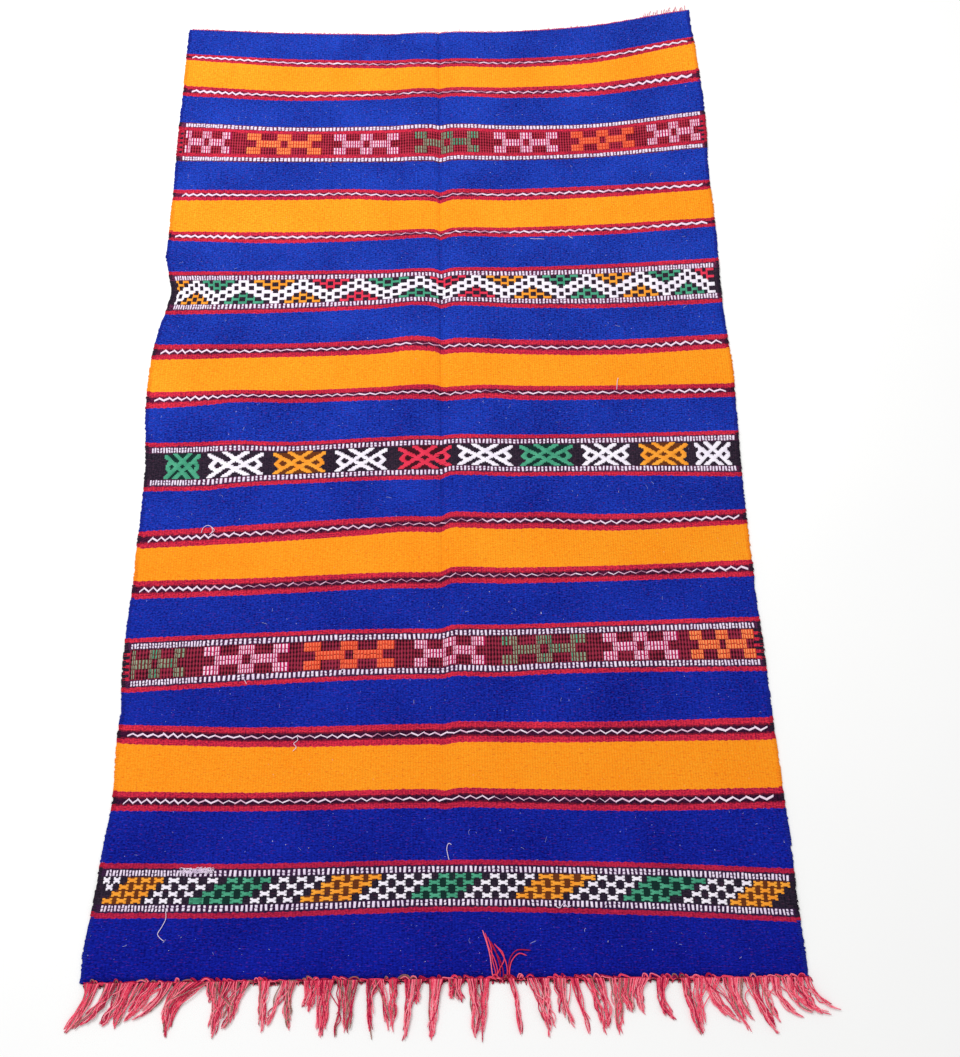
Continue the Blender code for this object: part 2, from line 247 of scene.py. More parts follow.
Section = namedtuple("Section", "kind length leans outs")
NEAR_LEANS = (3, 2, 0, -4, -7)
SECTIONS = [
    Section("blue", 89, (0, -3, 0, -10, -22), (17, 7)),
    Section("band", 71, (4, 0, 0, -9, -20), (8, 4)),
    Section("blue", 74, (4, 0, 0, -10, -10), (3, 5)),
    Section("zigzag", 28, (4, -1, 0, -8, -8), (-3, 3)),
    Section("orange", 65, (9, 1, 0, -1, -2), (-1, 2)),
    Section("zigzag", 32, (6, -1, 0, -2, 0), (0, 0)),
    Section("blue", 72, (-15, -7, 0, 2, 0), (-2, 0)),
    Section("band", 80, (-9, -4, 0, 4, 7), (3, -1)),
    Section("blue", 68, (-13, -9, 0, 3, 6), (3, -4)),
    Section("zigzag", 27, (-10, -8, 0, 2, 7), (0, -3)),
    Section("orange", 67, (-21, -14, 0, -5, 1), (0, -4)),
    Section("zigzag", 28, (-19, -10, 0, -4, 0), (0, -4)),
    Section("blue", 66, (-14, -7, 0, -1, -6), (-1, -4)),
    Section("band", 77, (-4, -7, 0, -1, 1), (-1, -3)),
    Section("blue", 66, (-4, 1, 0, -2, -1), (7, 0)),
    Section("zigzag", 28, (-1, -3, 0, -3, -3), (10, 1)),
    Section("orange", 66, (-4, -3, 0, -9, -1), (11, 3)),
    Section("zigzag", 29, (-3, -5, 0, -8, -1), (7, 0)),
    Section("blue", 65, (-7, -7, 0, -8, -2), (1, -2)),
    Section("band", 79, (3, 1, 0, 4, 13), (-16, -2)),
    Section("blue", 67, (2, -6, 0, 1, 14), (2, 1)),
    Section("zigzag", 19, (4, -1, 0, 5, 15), (0, 1)),
    Section("orange", 62, (11, 8, 0, 3, 16), (1, 2)),
    Section("zigzag", 24, (11, 6, 0, 5, 14), (0, 0)),
    Section("blue", 66, (10, 4, 0, 4, 21), (1, 1)),
    Section("band", 87, (14, 0, 0, -3, 22), (2, 6)),
    Section("blue", 66, (12, -2, 0, -1, 28), (2, 7)),
    Section("zigzag", 22, (15, -1, 0, 7, 36), (1, 5)),
    Section("orange", 52, (27, 8, 0, 6, 47), (2, 4)),
    Section("zigzag", 20, (23, 7, 0, 9, 45), (2, 2)),
    Section("blue", 67, (19, 6, 0, 13, 49), (2, -1)),
]
STARTS = np.cumsum([0.0] + [section.length for section in SECTIONS])
CLOTH_LENGTH = float(STARTS[-1])
BANDS = [i for i, section in enumerate(SECTIONS) if section.kind == "band"]
ZIGZAGS = [i for i, section in enumerate(SECTIONS) if section.kind == "zigzag"]
print(len(SECTIONS), "stripes,", CLOTH_LENGTH, "mm;", len(BANDS), "bands;", len(ZIGZAGS), "zigzags")

# %% The soft banks beside the crease
Fold = namedtuple("Fold", "middle_x left right near_y far_y ramp height")
FOLDS = [
    Fold(-42, 60, 110, 520, 2200, 420, 3.6),
    Fold(32, 110, 100, 400, 2200, 400, 3.9),
    Fold(170, 60, 60, 930, 1180, 110, 3.0),
    Fold(-180, 70, 70, 380, 640, 120, 2.5),
    Fold(15, 14, 40, 420, 530, 45, 2.0),
    Fold(136, 10, 40, 8, 84, 26, 1.8),
]
CREASE_X = -4.0
CREASE_DEPTH = 2.5
CREASE_HALF = 4.0
CREASE_FROM = 380.0
CREASE_RAMP = 300.0
Pinch = namedtuple("Pinch", "v dip step")
PINCHES = [
    Pinch(140, 0, 0), Pinch(290, 3.5, 2.5), Pinch(340, 2.0, 3.0), Pinch(480, 1.0, 5.0),
    Pinch(610, 0.8, 8.5), Pinch(765, 0.8, 8.0), Pinch(815, 0.8, 2.0), Pinch(880, 1.0, 0),
    Pinch(935, 2.5, -4.5), Pinch(1000, 4.5, -3.5), Pinch(1100, 4.5, 0), Pinch(1335, 5.5, 2.0),
    Pinch(1500, 2.0, 0), Pinch(1720, 0, 0),
]


def ease(t):
    """Soft step from 0 to 1."""
    t = np.clip(t, 0.0, 1.0)
    return t * t * (3 - 2 * t)


def lift(x, y):
    """Height of the cloth's underside above the floor, in millimetres."""
    height = np.zeros_like(x)
    for fold in FOLDS:
        reach = np.where(x < fold.middle_x, fold.left, fold.right)
        across = np.clip(np.abs(x - fold.middle_x) / reach, 0.0, 1.0)
        crown = np.cos(across * math.pi / 2) ** 2
        ends = ease((y - fold.near_y) / fold.ramp) * ease((fold.far_y - y) / fold.ramp)
        height = np.maximum(height, fold.height * crown * ends)
    crease = CREASE_DEPTH * np.exp(-np.abs(x - CREASE_X) / CREASE_HALF)
    crease = crease * ease((y - CREASE_FROM) / CREASE_RAMP)
    return np.maximum(height - crease, 0.0)


print("banks", max(fold.height for fold in FOLDS), "mm high, crease", CREASE_DEPTH, "mm deep")

# %% From the weave to the floor: the surface map
STATIONS = np.array([-470.0, -280.0, 0.0, 280.0, 470.0])
LEANS = np.array([NEAR_LEANS] + [section.leans for section in SECTIONS], float)
BEFORE = [0, 0, 1, 2, 3]
AFTER = [1, 2, 3, 4, 4]
SLOPES = (LEANS[:, AFTER] - LEANS[:, BEFORE]) / (STATIONS[AFTER] - STATIONS[BEFORE])


def smooth_between(t, span, start, leaving, end, arriving):
    """The smooth curve from start to end at the share t of the span, with its two slopes."""
    near = (2 * t**3 - 3 * t**2 + 1) * start + (t**3 - 2 * t**2 + t) * span * leaving
    return near + (3 * t**2 - 2 * t**3) * end + (t**3 - t**2) * span * arriving


def lean(line, u):
    """How far the given dividing lines lie beyond their middles, along smooth curves."""
    inside = np.clip(u, STATIONS[0], STATIONS[-1])
    k = np.clip(np.searchsorted(STATIONS, inside, side="right") - 1, 0, len(STATIONS) - 2)
    span = STATIONS[k + 1] - STATIONS[k]
    curve = smooth_between(
        (inside - STATIONS[k]) / span, span,
        LEANS[line, k], SLOPES[line, k], LEANS[line, k + 1], SLOPES[line, k + 1])
    end = np.where(u < 0, 0, len(STATIONS) - 1)
    return curve + SLOPES[line, end] * (u - inside)


print("the lines between the stripes lean up to", np.abs(LEANS).max(), "mm")

# %% The pinches and the wavers
PINCH_X = CREASE_X + 4.0
DIP_HALF = 12.0
STEP_HALF = 8.0
STEP_REACH = 70.0


def pinch(u, v):
    """How far the crease has dragged the wefts along: a dip on it and a step across it."""
    beside = u - PINCH_X
    dip = np.interp(v, [p.v for p in PINCHES], [p.dip for p in PINCHES])
    step = np.interp(v, [p.v for p in PINCHES], [p.step for p in PINCHES])
    stepped = step / 2 * np.tanh(beside / STEP_HALF) * np.exp(-(beside / STEP_REACH) ** 2)
    return stepped - dip * np.exp(-(beside / DIP_HALF) ** 2)


Waver = namedtuple("Waver", "u v reach_u reach_v rise")
WAVERS = [
    Waver(20, 335, 110, 35, 2.2), Waver(80, 435, 60, 45, -3.0), Waver(-60, 665, 45, 40, 3.0),
    Waver(160, 690, 60, 45, 4.0), Waver(-400, 767, 60, 35, -4.0), Waver(-350, 880, 60, 70, 6.0),
    Waver(-110, 890, 90, 60, 3.5), Waver(80, 912, 45, 30, 5.0), Waver(-65, 1040, 40, 90, 4.5),
    Waver(165, 1065, 40, 60, -3.5), Waver(-165, 1337, 70, 40, 4.0),
]


def waver(u, v):
    """How far the wefts are beaten out of line at u, v."""
    moved = 0.0
    for spot in WAVERS:
        away = ((u - spot.u) / spot.reach_u) ** 2 + ((v - spot.v) / spot.reach_v) ** 2
        moved = moved + spot.rise * np.exp(-away)
    return moved


print(len(PINCHES), "pinches along the crease and", len(WAVERS), "wavers")

# %% Where a point of the cloth lies
MIDDLES = (STARTS[1:] + STARTS[:-1]) / 2
LEFT_OUTS, RIGHT_OUTS = np.array([section.outs for section in SECTIONS], float).T
EDGE_STEP = 1.2
STEPS = np.repeat(STARTS, 2) + np.tile([-EDGE_STEP / 2, EDGE_STEP / 2], len(STARTS))
THICK_STEPS = np.repeat([THICKNESS[section.kind] for section in SECTIONS], 2)
THICK_STEPS = np.concatenate([THICK_STEPS[:1], THICK_STEPS, THICK_STEPS[-1:]])


def plan(u, v):
    """Where the point u across and v along lies on the floor plan, in table millimetres."""
    line = np.clip(np.searchsorted(STARTS, v, side="right") - 1, 0, len(SECTIONS) - 1)
    share = (v - STARTS[line]) / (STARTS[line + 1] - STARTS[line])
    y = v + (1 - share) * lean(line, u) + share * lean(line + 1, u)
    y = y + pinch(u, v) + waver(u, v)
    bulge = (np.abs(u) / (CLOTH_WIDTH / 2)) ** 4
    left = np.interp(v, MIDDLES, LEFT_OUTS)
    right = np.interp(v, MIDDLES, RIGHT_OUTS)
    return np.where(u < 0, u - left * bulge, u + right * bulge), y


# The solid's columns of corners, which say where its near edge and so its box begins.
SOLID_COLUMNS = np.array([
    -500, -430, -360, -290, -220, -140, -70, -50, -24, -5,
    14, 38, 58, 130, 210, 290, 360, 430, 500,
], float)
low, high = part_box("woven_cloth")
near_y = plan(SOLID_COLUMNS, np.zeros(len(SOLID_COLUMNS)))[1].min()
SHIFT_X = low.x / MM + CLOTH_WIDTH / 2 + LEFT_OUTS.max()
SHIFT_Y = low.y / MM - near_y


def surface(u, v, up=0.0):
    """The point of the cloth's upper side at u, v, raised by up: an array in metres."""
    u = np.asarray(u, float)
    v = np.asarray(v, float)
    x, y = plan(u, v)
    z = lift(x, y) + np.interp(v, STEPS, THICK_STEPS) + up
    return np.stack([x + SHIFT_X, y + SHIFT_Y, z], axis=-1) * MM


print("table to frame:", round(SHIFT_X, 2), round(SHIFT_Y, 2), "mm")
print("far right corner:", surface([500], [CLOTH_LENGTH])[0].round(3))

# %% [markdown]
# ## Wool
#
# Every yarn here is the same soft, matt, two-ply wool in another colour. On the real rug a stripe
# is never one flat colour: its wefts differ a little in tone, the ribs over the warps catch the
# light, salmon warps peep through, and pale lint clings to the blue. So one function makes all the
# wools, from a deep and a light tone of the same dye, with the light on the ribs painted into the
# colour as well as bumped. A third, lighter tone that it nears towards the far end is painted
# light: the rug is lit more strongly there. The photograph gets lighter that way, and it doesn't
# say whether that is light or dye, so this is matched by eye to the picture. The wool reads the
# cloth's own map, named weave, so that ribs and wefts follow every wavering stripe.
#
# Plum and wine are the ground under the white zigzags, and violet is the ground between the
# white dashes. The wool there may well be plain black, but the picture shows it as a dark plum
# or violet next to red and white yarns, so it is given that tone.

# %% The wool of the cloth
RIB = 4.0
WEFT = 1.7
# Painted light: the far end of the cloth is painted lighter, over this many millimetres and up to
# this share.
FAR_LIGHT_BY = 1250.0
FAR_LIGHT_SHARE = 0.9
PEEP_LEVEL = 0.66
LINT_LEVEL = 0.735
LINT_COLOUR = (190, 190, 225)
# Painted shade along the crease reaches this far to each side, in millimetres.
CREASE_SHADE_REACH = 7.0


def weave_place(finish):
    """The cloth's own map as a vector in metres, and its two numbers in millimetres."""
    place = finish.node("ShaderNodeUVMap", {"uv_map": "weave"})
    return place, finish.axis(place, 0) * 1000.0, finish.axis(place, 1) * 1000.0


def woven_wool(name, deep, light, far_lit_tone, peep, peep_share, lint_share, ribs=0.35, wild=1.0,
               far_lit_span=(0.0, FAR_LIGHT_BY)):
    """Weft-faced wool: ribs, single wefts, slow dye drift, warps peeping through and lint.

    Towards the far end it nears its far lit tone, which is painted light: it starts at the first of
    far_lit_span, in millimetres along, and has nearly reached it at the second. Along the crease it
    is painted down to its deep tone, as painted shade in the fold.
    """
    finish = Finish(name)
    place, u, v = weave_place(finish)
    rib = finish.sine(u * (2 * math.pi / RIB))
    weft = finish.sine(v * (2 * math.pi / WEFT) + rib * 1.2)
    single_wefts = finish.noise_at(finish.stretched(place, 60.0, 420.0, 1.0), 1.0)
    drift = finish.noise_at(place, 9.0, 3.0)
    grain = finish.noise_at(finish.stretched(place, 260.0, 520.0, 1.0), 1.0)
    uneven = (single_wefts - 0.5) * 0.6 + (drift - 0.5) * 0.6 + (grain - 0.5) * 1.9
    # Painted shade: the rib and weft waves also make the tone lighter on their crowns and darker
    # between them, besides the bump.
    tone = 0.4 + uneven * wild + rib * (ribs * 0.25) + weft * 0.06
    body = finish.blend(tone, deep, light)
    # Painted light: the tone nears the far lit tone towards the far end.
    far_lit_share = (v - far_lit_span[0]) * (FAR_LIGHT_SHARE / (far_lit_span[1] - far_lit_span[0]))
    body = finish.blend(far_lit_share, body, finish.blend(tone, deep, far_lit_tone))
    specks = finish.noise_at(finish.stretched(place, 130.0, 560.0, 1.0), 1.0, 1.0)
    body = finish.blend((specks > PEEP_LEVEL) * peep_share, body, peep)
    fluff = finish.noise_at(finish.stretched(place, 260.0, 190.0, 1.0), 1.0, 3.0)
    body = finish.blend((fluff > LINT_LEVEL) * lint_share, body, LINT_COLOUR)
    # Painted shade: close to the crease the wool is darkened towards its deep tone, more so towards
    # the far end.
    from_crease = u.maths("ABSOLUTE", u - CREASE_X)
    crease_shade = (1 - from_crease * (1 / CREASE_SHADE_REACH)) * v.maths("MINIMUM", v * 0.0003, 0.2)
    finish.colour(finish.blend(crease_shade, body, deep))
    finish.bump(rib * 0.5 + weft * 0.4 + grain * 1.2, 0.0006, 0.7)
    return finish.material


YARNS = {
    "blue": woven_wool(
        "blue wool", (4, 4, 98), (22, 38, 184), (42, 87, 226),
        (112, 36, 132), 0.33, 0.85, ribs=0.12, wild=0.95, far_lit_span=(0.0, 1050.0)),
    "orange": woven_wool(
        "orange wool", (250, 136, 20), (255, 162, 38), (255, 185, 46),
        (222, 100, 30), 0.55, 0.2),
    "red": woven_wool(
        "red wool", (134, 16, 54), (214, 46, 80), (255, 58, 78),
        (140, 20, 66), 0.5, 0.1, wild=1.1, far_lit_span=(150.0, 280.0)),
    "black": woven_wool(
        "black wool", (22, 19, 31), (58, 46, 64), (72, 54, 70),
        (96, 46, 70), 0.4, 0.2),
    "wine": woven_wool(
        "wine wool", (70, 14, 34), (90, 20, 44), (255, 66, 92),
        (60, 20, 60), 0.4, 0.1),
    "plum": woven_wool(
        "plum wool", (24, 9, 26), (46, 20, 56), (138, 40, 84),
        (110, 34, 66), 0.3, 0.1),
    "violet": woven_wool(
        "violet wool", (34, 16, 42), (62, 40, 80), (150, 66, 104),
        (96, 40, 78), 0.3, 0.2),
}
print(len(YARNS), "wools for the ground")

# %% [markdown]
# The ground of the second and fifth bands is ribbed lengthwise, one rib to each warp: dark red
# beside near-black in the second, and a rosier red in the fifth. It is the same wool again,
# with its colour taken from which side of the rib it is on. Every rib is broken into short
# dashes, and a little noise keeps it from being drawn with a ruler.

# %% The ribbed grounds
GROUND_RIB = 4.9
GROUND_DASH = 6.8


def ribbed_ground(name, dark, bright):
    """Wool in ribs of two colours, each rib broken into dashes."""
    finish = Finish(name)
    place, u, v = weave_place(finish)
    wander = finish.noise_at(finish.stretched(place, 70.0, 45.0, 1.0), 1.0)
    rib = finish.sine((u + wander * 1.6) * (2 * math.pi / GROUND_RIB))
    grain = finish.noise_at(place, 480.0)
    patch = finish.noise_at(place, 38.0)
    dash = finish.sine(v * (2 * math.pi / GROUND_DASH) + wander * 5.0)
    share = 0.5 + rib * 0.5 + dash * 0.3 + (grain - 0.5) * 0.9 + (patch - 0.5) * 1.1
    finish.colour(finish.blend(share, dark, bright))
    finish.bump(rib + grain, 0.0007, 0.8)
    return finish.material


YARNS["maroon"] = ribbed_ground("maroon ribs", (44, 12, 22), (158, 46, 70))
YARNS["rosy"] = ribbed_ground("rosy ribs", (76, 8, 20), (186, 50, 72))
print("both ribbed grounds have a rib each", GROUND_RIB, "mm")

# %% [markdown]
# ## The cloth
#
# The cloth could be a plane with a painted picture of stripes, but then it would be flat and
# its edges blurred. Here it is one closed thin sheet on the surface map: a column every
# 5 mm, close enough to bend with every fold, and rows that fall on the stripes' own edges, so
# that each row of faces is one wool. Where two colours meet, the wefts interlock rib by rib,
# so every second corner of such a row is set half a millimetre on, and its neighbours back.

# %% Rows of the sheet and the wool of each
COLUMN_STEP = 5.0
PLAIN_ROW = 13.0
ZIGZAG_LAYOUT = (
    ("red", 0.28, 1), ("wine", 0.07, 1), ("plum", 0.3, 2), ("wine", 0.07, 1), ("red", 0.28, 1),
)
RED_LINE = 6.6
DASH_EDGE = 1.8
DASH_LENGTH = 8.6
DASH_GAP = 0.6
FIELD_EDGE = RED_LINE + DASH_EDGE + DASH_LENGTH + DASH_GAP
FIELD_GROUNDS = {BANDS[1]: ("maroon", 10), BANDS[4]: ("rosy", 10)}
DASHES_OUTSIDE = BANDS[4]


def section_stripes(index):
    """The (wool, length, rows of faces) of one section, near to far."""
    section = SECTIONS[index]
    if section.kind in ("blue", "orange"):
        return [(section.kind, section.length, round(section.length / PLAIN_ROW))]
    if section.kind == "zigzag":
        return [(wool, section.length * share, rows) for wool, share, rows in ZIGZAG_LAYOUT]
    rim = [("red", RED_LINE, 2), ("violet", FIELD_EDGE - RED_LINE, 2)]
    if index == DASHES_OUTSIDE:
        rim.reverse()
    wool, rows = FIELD_GROUNDS.get(index, ("black", 7))
    return rim + [(wool, section.length - 2 * FIELD_EDGE, rows)] + rim[::-1]


def inside_lines(index, margin):
    """The near and the far line of one section, each drawn in by a margin."""
    return STARTS[index] + margin, STARTS[index + 1] - margin


row_places = [0.0]
row_wools = []
for index in range(len(SECTIONS)):
    for wool, length, rows in section_stripes(index):
        start = row_places[-1]
        row_places += [start + length * (i + 1) / rows for i in range(rows)]
        row_wools += [wool] * rows
crease_columns = CREASE_X + np.array([-8.5, -3.5, -1.7, 0.0, 1.7, 3.0, 6.5])
column_places = np.union1d(
    np.arange(-CLOTH_WIDTH / 2, CLOTH_WIDTH / 2 + 1, COLUMN_STEP), crease_columns)
print(len(row_wools), "rows by", len(column_places) - 1, "columns of faces")

# %% The sheet's two sides
INTERLOCK = 0.45
INTERLOCK_SLIP = 0.5
EDGE_SLIP = 1.1
dice = random.Random(7)
U, V = np.meshgrid(column_places, np.array(row_places))
changes = [i for i in range(1, len(row_wools)) if row_wools[i] != row_wools[i - 1]]
for i in changes:
    for j in range(len(column_places)):
        slip = dice.uniform(-INTERLOCK_SLIP, INTERLOCK_SLIP)
        V[i, j] += (INTERLOCK if j % 2 else -INTERLOCK) + slip
for i in range(len(row_places)):
    U[i, 0] += dice.uniform(-EDGE_SLIP, EDGE_SLIP)
    U[i, -1] += dice.uniform(-EDGE_SLIP, EDGE_SLIP)

top = surface(U, V)
bottom = top.copy()
bottom[..., 2] -= np.interp(V, STEPS, THICK_STEPS) * MM
for i in range(top.shape[0]):
    for j in range(top.shape[1]):
        spot = Vector((top[i, j, 0], top[i, j, 1], 0.0))
        top[i, j, 2] += 0.00045 * noise.noise(spot * 26) + 0.00025 * noise.noise(spot * 110)
print("sheet thickness up to", round(float((top - bottom)[..., 2].max()) / MM, 1), "mm")

# %% One closed mesh, a wool to each face
rows, columns = U.shape
count = rows * columns
names = list(YARNS)
SELVEDGE = 489.0


def wool_of(row, column):
    """The selvedges of the bands are plain: black, or striped red and black."""
    wool = row_wools[row]
    middle = column_places[column] + COLUMN_STEP / 2
    if wool in ("maroon", "rosy") and not -SELVEDGE < middle < SELVEDGE - 3:
        return "red" if row % 2 else "black"
    return wool


faces = []
face_wools = []
for i in range(rows - 1):
    for j in range(columns - 1):
        a, b = i * columns + j, (i + 1) * columns + j
        faces.append((a, a + 1, b + 1, b))
        faces.append((a + count, b + count, b + 1 + count, a + 1 + count))
        face_wools += [names.index(wool_of(i, j))] * 2
rim = list(range(columns))
rim += [i * columns + columns - 1 for i in range(1, rows)]
rim += [(rows - 1) * columns + j for j in range(columns - 2, -1, -1)]
rim += [i * columns for i in range(rows - 2, 0, -1)]
for a, b in zip(rim, rim[1:] + rim[:1]):
    faces.append((b, a, a + count, b + count))
    row = min(min(a, b) // columns, rows - 2)
    face_wools.append(names.index(row_wools[row]))

mesh = bpy.data.meshes.new("kilim_cloth")
mesh.from_pydata(np.concatenate([top.reshape(-1, 3), bottom.reshape(-1, 3)]).tolist(), [], faces)
for name in names:
    mesh.materials.append(YARNS[name])
mesh.polygons.foreach_set("material_index", face_wools)
mesh.shade_smooth()
corners = np.zeros(len(mesh.loops), int)
mesh.loops.foreach_get("vertex_index", corners)
flat_map = np.stack([U.ravel(), V.ravel()], axis=-1) * MM
weave = mesh.uv_layers.new(name="weave")
weave.data.foreach_set("uv", flat_map[corners % count].ravel())
mesh.update()
cloth = bpy.data.objects.new("kilim_cloth", mesh)
bpy.context.scene.collection.objects.link(cloth)
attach(cloth, "root")
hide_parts("woven_cloth")
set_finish(cloth, "wool_cloth")
print("cloth:", len(faces), "faces")

# %% [markdown]
# ## One stitch, copied thousands of times
#
# The brocade is laid on top of the ground as short floats of yarn. Each could be its own
# object, but there are more than ten thousand. So one stitch is modelled by hand: a flat box
# with a top that is drawn in, like a loaf. Its corners then tell a copy how far to stay
# inside its own left, right, near and far ends, and every copy is set down on the surface
# map and joined to the others of its colour.

# %% Model the stitch
LOAF_SIDE = 0.55
LOAF_TOP = 0.45
LOAF_DRAWN_IN = 0.55
bpy.ops.object.select_all(action="DESELECT")
bpy.ops.mesh.primitive_cube_add(size=2.0, location=(0, 0, 1))
loaf = bpy.context.object
for vert in loaf.data.vertices:
    vert.co.z = (vert.co.z + 1) / 2 * LOAF_SIDE
bpy.ops.object.mode_set(mode="EDIT")
bpy.ops.mesh.select_all(action="DESELECT")
bpy.ops.object.mode_set(mode="OBJECT")
for face in loaf.data.polygons:
    face.select = face.normal.z > 0.9
bpy.ops.object.mode_set(mode="EDIT")
bpy.ops.mesh.extrude_region_move(TRANSFORM_OT_translate={"value": (0, 0, LOAF_TOP)})
bpy.ops.transform.resize(value=(LOAF_DRAWN_IN, LOAF_DRAWN_IN, 1.0))
bpy.ops.object.mode_set(mode="OBJECT")


def take_shape(modelled):
    """The corners and faces of a hand-modelled shape, which is then put away."""
    corners = np.array([vert.co[:] for vert in modelled.data.vertices])
    sides = [tuple(face.vertices) for face in modelled.data.polygons]
    bpy.data.objects.remove(modelled, do_unlink=True)
    return corners, sides


STITCH_CORNERS, STITCH_FACES = take_shape(loaf)
print("a stitch has", len(STITCH_CORNERS), "corners and", len(STITCH_FACES), "faces")

# %% Lay stitches on the cloth
Stitch = namedtuple("Stitch", "left right near far skew rise", defaults=(0.0, 0.0))
STITCH_HEIGHT = 0.95
SUNK = 0.15


def joined_copies(name, corners, sides, finish):
    """One mesh of many copies: corners is an array of copies by corners by three."""
    copies, each = corners.shape[:2]
    every = [tuple(c + k * each for c in side) for k in range(copies) for side in sides]
    mesh = bpy.data.meshes.new(name)
    mesh.from_pydata(corners.reshape(-1, 3).tolist(), [], every)
    mesh.materials.append(finish)
    mesh.shade_smooth()
    mesh.update()
    piece = bpy.data.objects.new(name, mesh)
    bpy.context.scene.collection.objects.link(piece)
    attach(piece, "root")
    return piece


def lay_stitches(name, stitches, finish, height=STITCH_HEIGHT, sunk=SUNK):
    """All the stitches of one colour as one piece, on the cloth's upper side."""
    left, right, near, far, skew, rise = np.array(stitches, float).T[:, :, None]
    side_u = np.sign(STITCH_CORNERS[:, 0])
    side_v = np.sign(STITCH_CORNERS[:, 1])
    inset = 1 - np.abs(STITCH_CORNERS[:, 0])
    half_u = (right - left) / 2
    half_v = (far - near) / 2
    draw = inset * np.minimum(half_u, half_v)
    u = (left + right) / 2 + side_u * (half_u - draw) + side_v * skew
    v = (near + far) / 2 + side_v * (half_v - draw) + side_u * rise
    up = STITCH_CORNERS[:, 2] * height - sunk + np.zeros_like(u)
    piece = joined_copies(name, surface(u, v, up), STITCH_FACES, finish)
    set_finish(piece, "wool_cloth")
    print(name + ":", len(stitches), "stitches")


# %% [markdown]
# Brocade yarn is a little loftier than the ground, so its wool has no weft lines of its own,
# only the fuzz of loose fibres and a slow change of tone from one length to the next. It
# reads the object's own place, because a joined piece of loose stitches has no flat map.

# %% The wool of the brocade
def brocade_wool(name, deep, light):
    """Lofty wool, each length of it a little deeper or lighter."""
    finish = Finish(name)
    spot = finish.object_place()
    lengths = finish.noise_at(spot, 60.0)
    fuzz = finish.noise_at(spot, 900.0)
    share = 0.1 + lengths * 0.8 + (fuzz - 0.5) * 0.8
    finish.colour(finish.blend(share, deep, light))
    finish.bump(fuzz, 0.0004, 0.6)
    return finish.material


BROCADE = {
    "white": brocade_wool("white brocade wool", (226, 214, 234), (255, 253, 255)),
    "lilac": brocade_wool("lilac white brocade wool", (206, 180, 218), (255, 246, 255)),
    "green": brocade_wool("green brocade wool", (22, 112, 84), (102, 192, 156)),
    "orange": brocade_wool("orange brocade wool", (232, 122, 24), (255, 188, 72)),
    "red": brocade_wool("red brocade wool", (200, 30, 56), (248, 74, 104)),
    "pink": brocade_wool("pale pink brocade wool", (230, 156, 198), (255, 240, 250)),
    "sage": brocade_wool("sage brocade wool", (88, 138, 106), (176, 176, 154)),
    "flame": brocade_wool("orange red brocade wool", (234, 82, 46), (252, 134, 96)),
    "coral": brocade_wool("coral brocade wool", (240, 112, 60), (255, 166, 104)),
}
RIB_WOOLS = {
    "crimson": brocade_wool("crimson rib wool", (114, 6, 44), (218, 30, 102)),
    "ember": brocade_wool("ember rib wool", (184, 44, 34), (230, 80, 50)),
    "rust": brocade_wool("rust rib wool", (84, 28, 34), (128, 52, 54)),
}
SHADES = {
    "orange": brocade_wool("brown shade wool", (78, 38, 26), (122, 64, 30)),
    "green": brocade_wool("dark green shade wool", (20, 34, 38), (22, 58, 50)),
    "red": brocade_wool("dark wine shade wool", (50, 18, 28), (80, 24, 36)),
}
print(len(BROCADE) + len(RIB_WOOLS) + len(SHADES), "brocade wools")

# %% [markdown]
# ## The selvedges
#
# At each side every weft turns round the outermost warp and goes back, so the edge is a close
# row of small humps in the colour of its stripe. The same stitch makes them, set down from the
# floor to a little above the cloth.

# %% Humps along both edges
HUMP_PITCH = 3.3
HUMP_SHARE = 0.92
HUMP_HEIGHT = 2.6
HUMP_SUNK = 2.15
EDGE_WOOLS = {
    "blue": brocade_wool("blue edge wool", (8, 12, 84), (34, 50, 168)),
    "orange": brocade_wool("orange edge wool", (226, 108, 16), (255, 160, 40)),
    "red": brocade_wool("red edge wool", (120, 14, 36), (206, 36, 62)),
    "black": brocade_wool("black edge wool", (16, 14, 24), (50, 40, 56)),
}
EDGE_OF = {"wine": "black", "plum": "black", "violet": "black", "maroon": "black", "rosy": "red"}
dice = random.Random(19)
humps = {wool: [] for wool in EDGE_WOOLS}
for side in (-1, 1):
    v = 1.0
    while v < CLOTH_LENGTH - 4:
        wool = row_wools[min(int(np.searchsorted(row_places, v)) - 1, len(row_wools) - 1)]
        outer = side * (CLOTH_WIDTH / 2 + dice.uniform(-0.6, 1.6))
        inner = side * (CLOTH_WIDTH / 2 - dice.uniform(4.5, 6.5))
        hump = Stitch(min(outer, inner), max(outer, inner), v, v + HUMP_PITCH * HUMP_SHARE)
        humps[EDGE_OF.get(wool, wool)].append(hump)
        v += HUMP_PITCH * dice.uniform(0.9, 1.1)
for wool, stitches in humps.items():
    lay_stitches(wool + "_selvedge", stitches, EDGE_WOOLS[wool], HUMP_HEIGHT, HUMP_SUNK)

# %% [markdown]
# ## Rows of white dashes
#
# Each band is edged by two rows of upright white dashes, with dark violet ground between them.
# Towards both selvedges the weave tightens, so the dashes come closer there and many are
# pinched in two.

# %% Rows of dashes
DASHES_FROM = -488.0
DASHES_TO = 490.0
TIGHT_FROM = 405.0
TIGHT_PITCH = 4.9
OPEN_PITCH = 6.7
PINCHED_GAP = 0.4


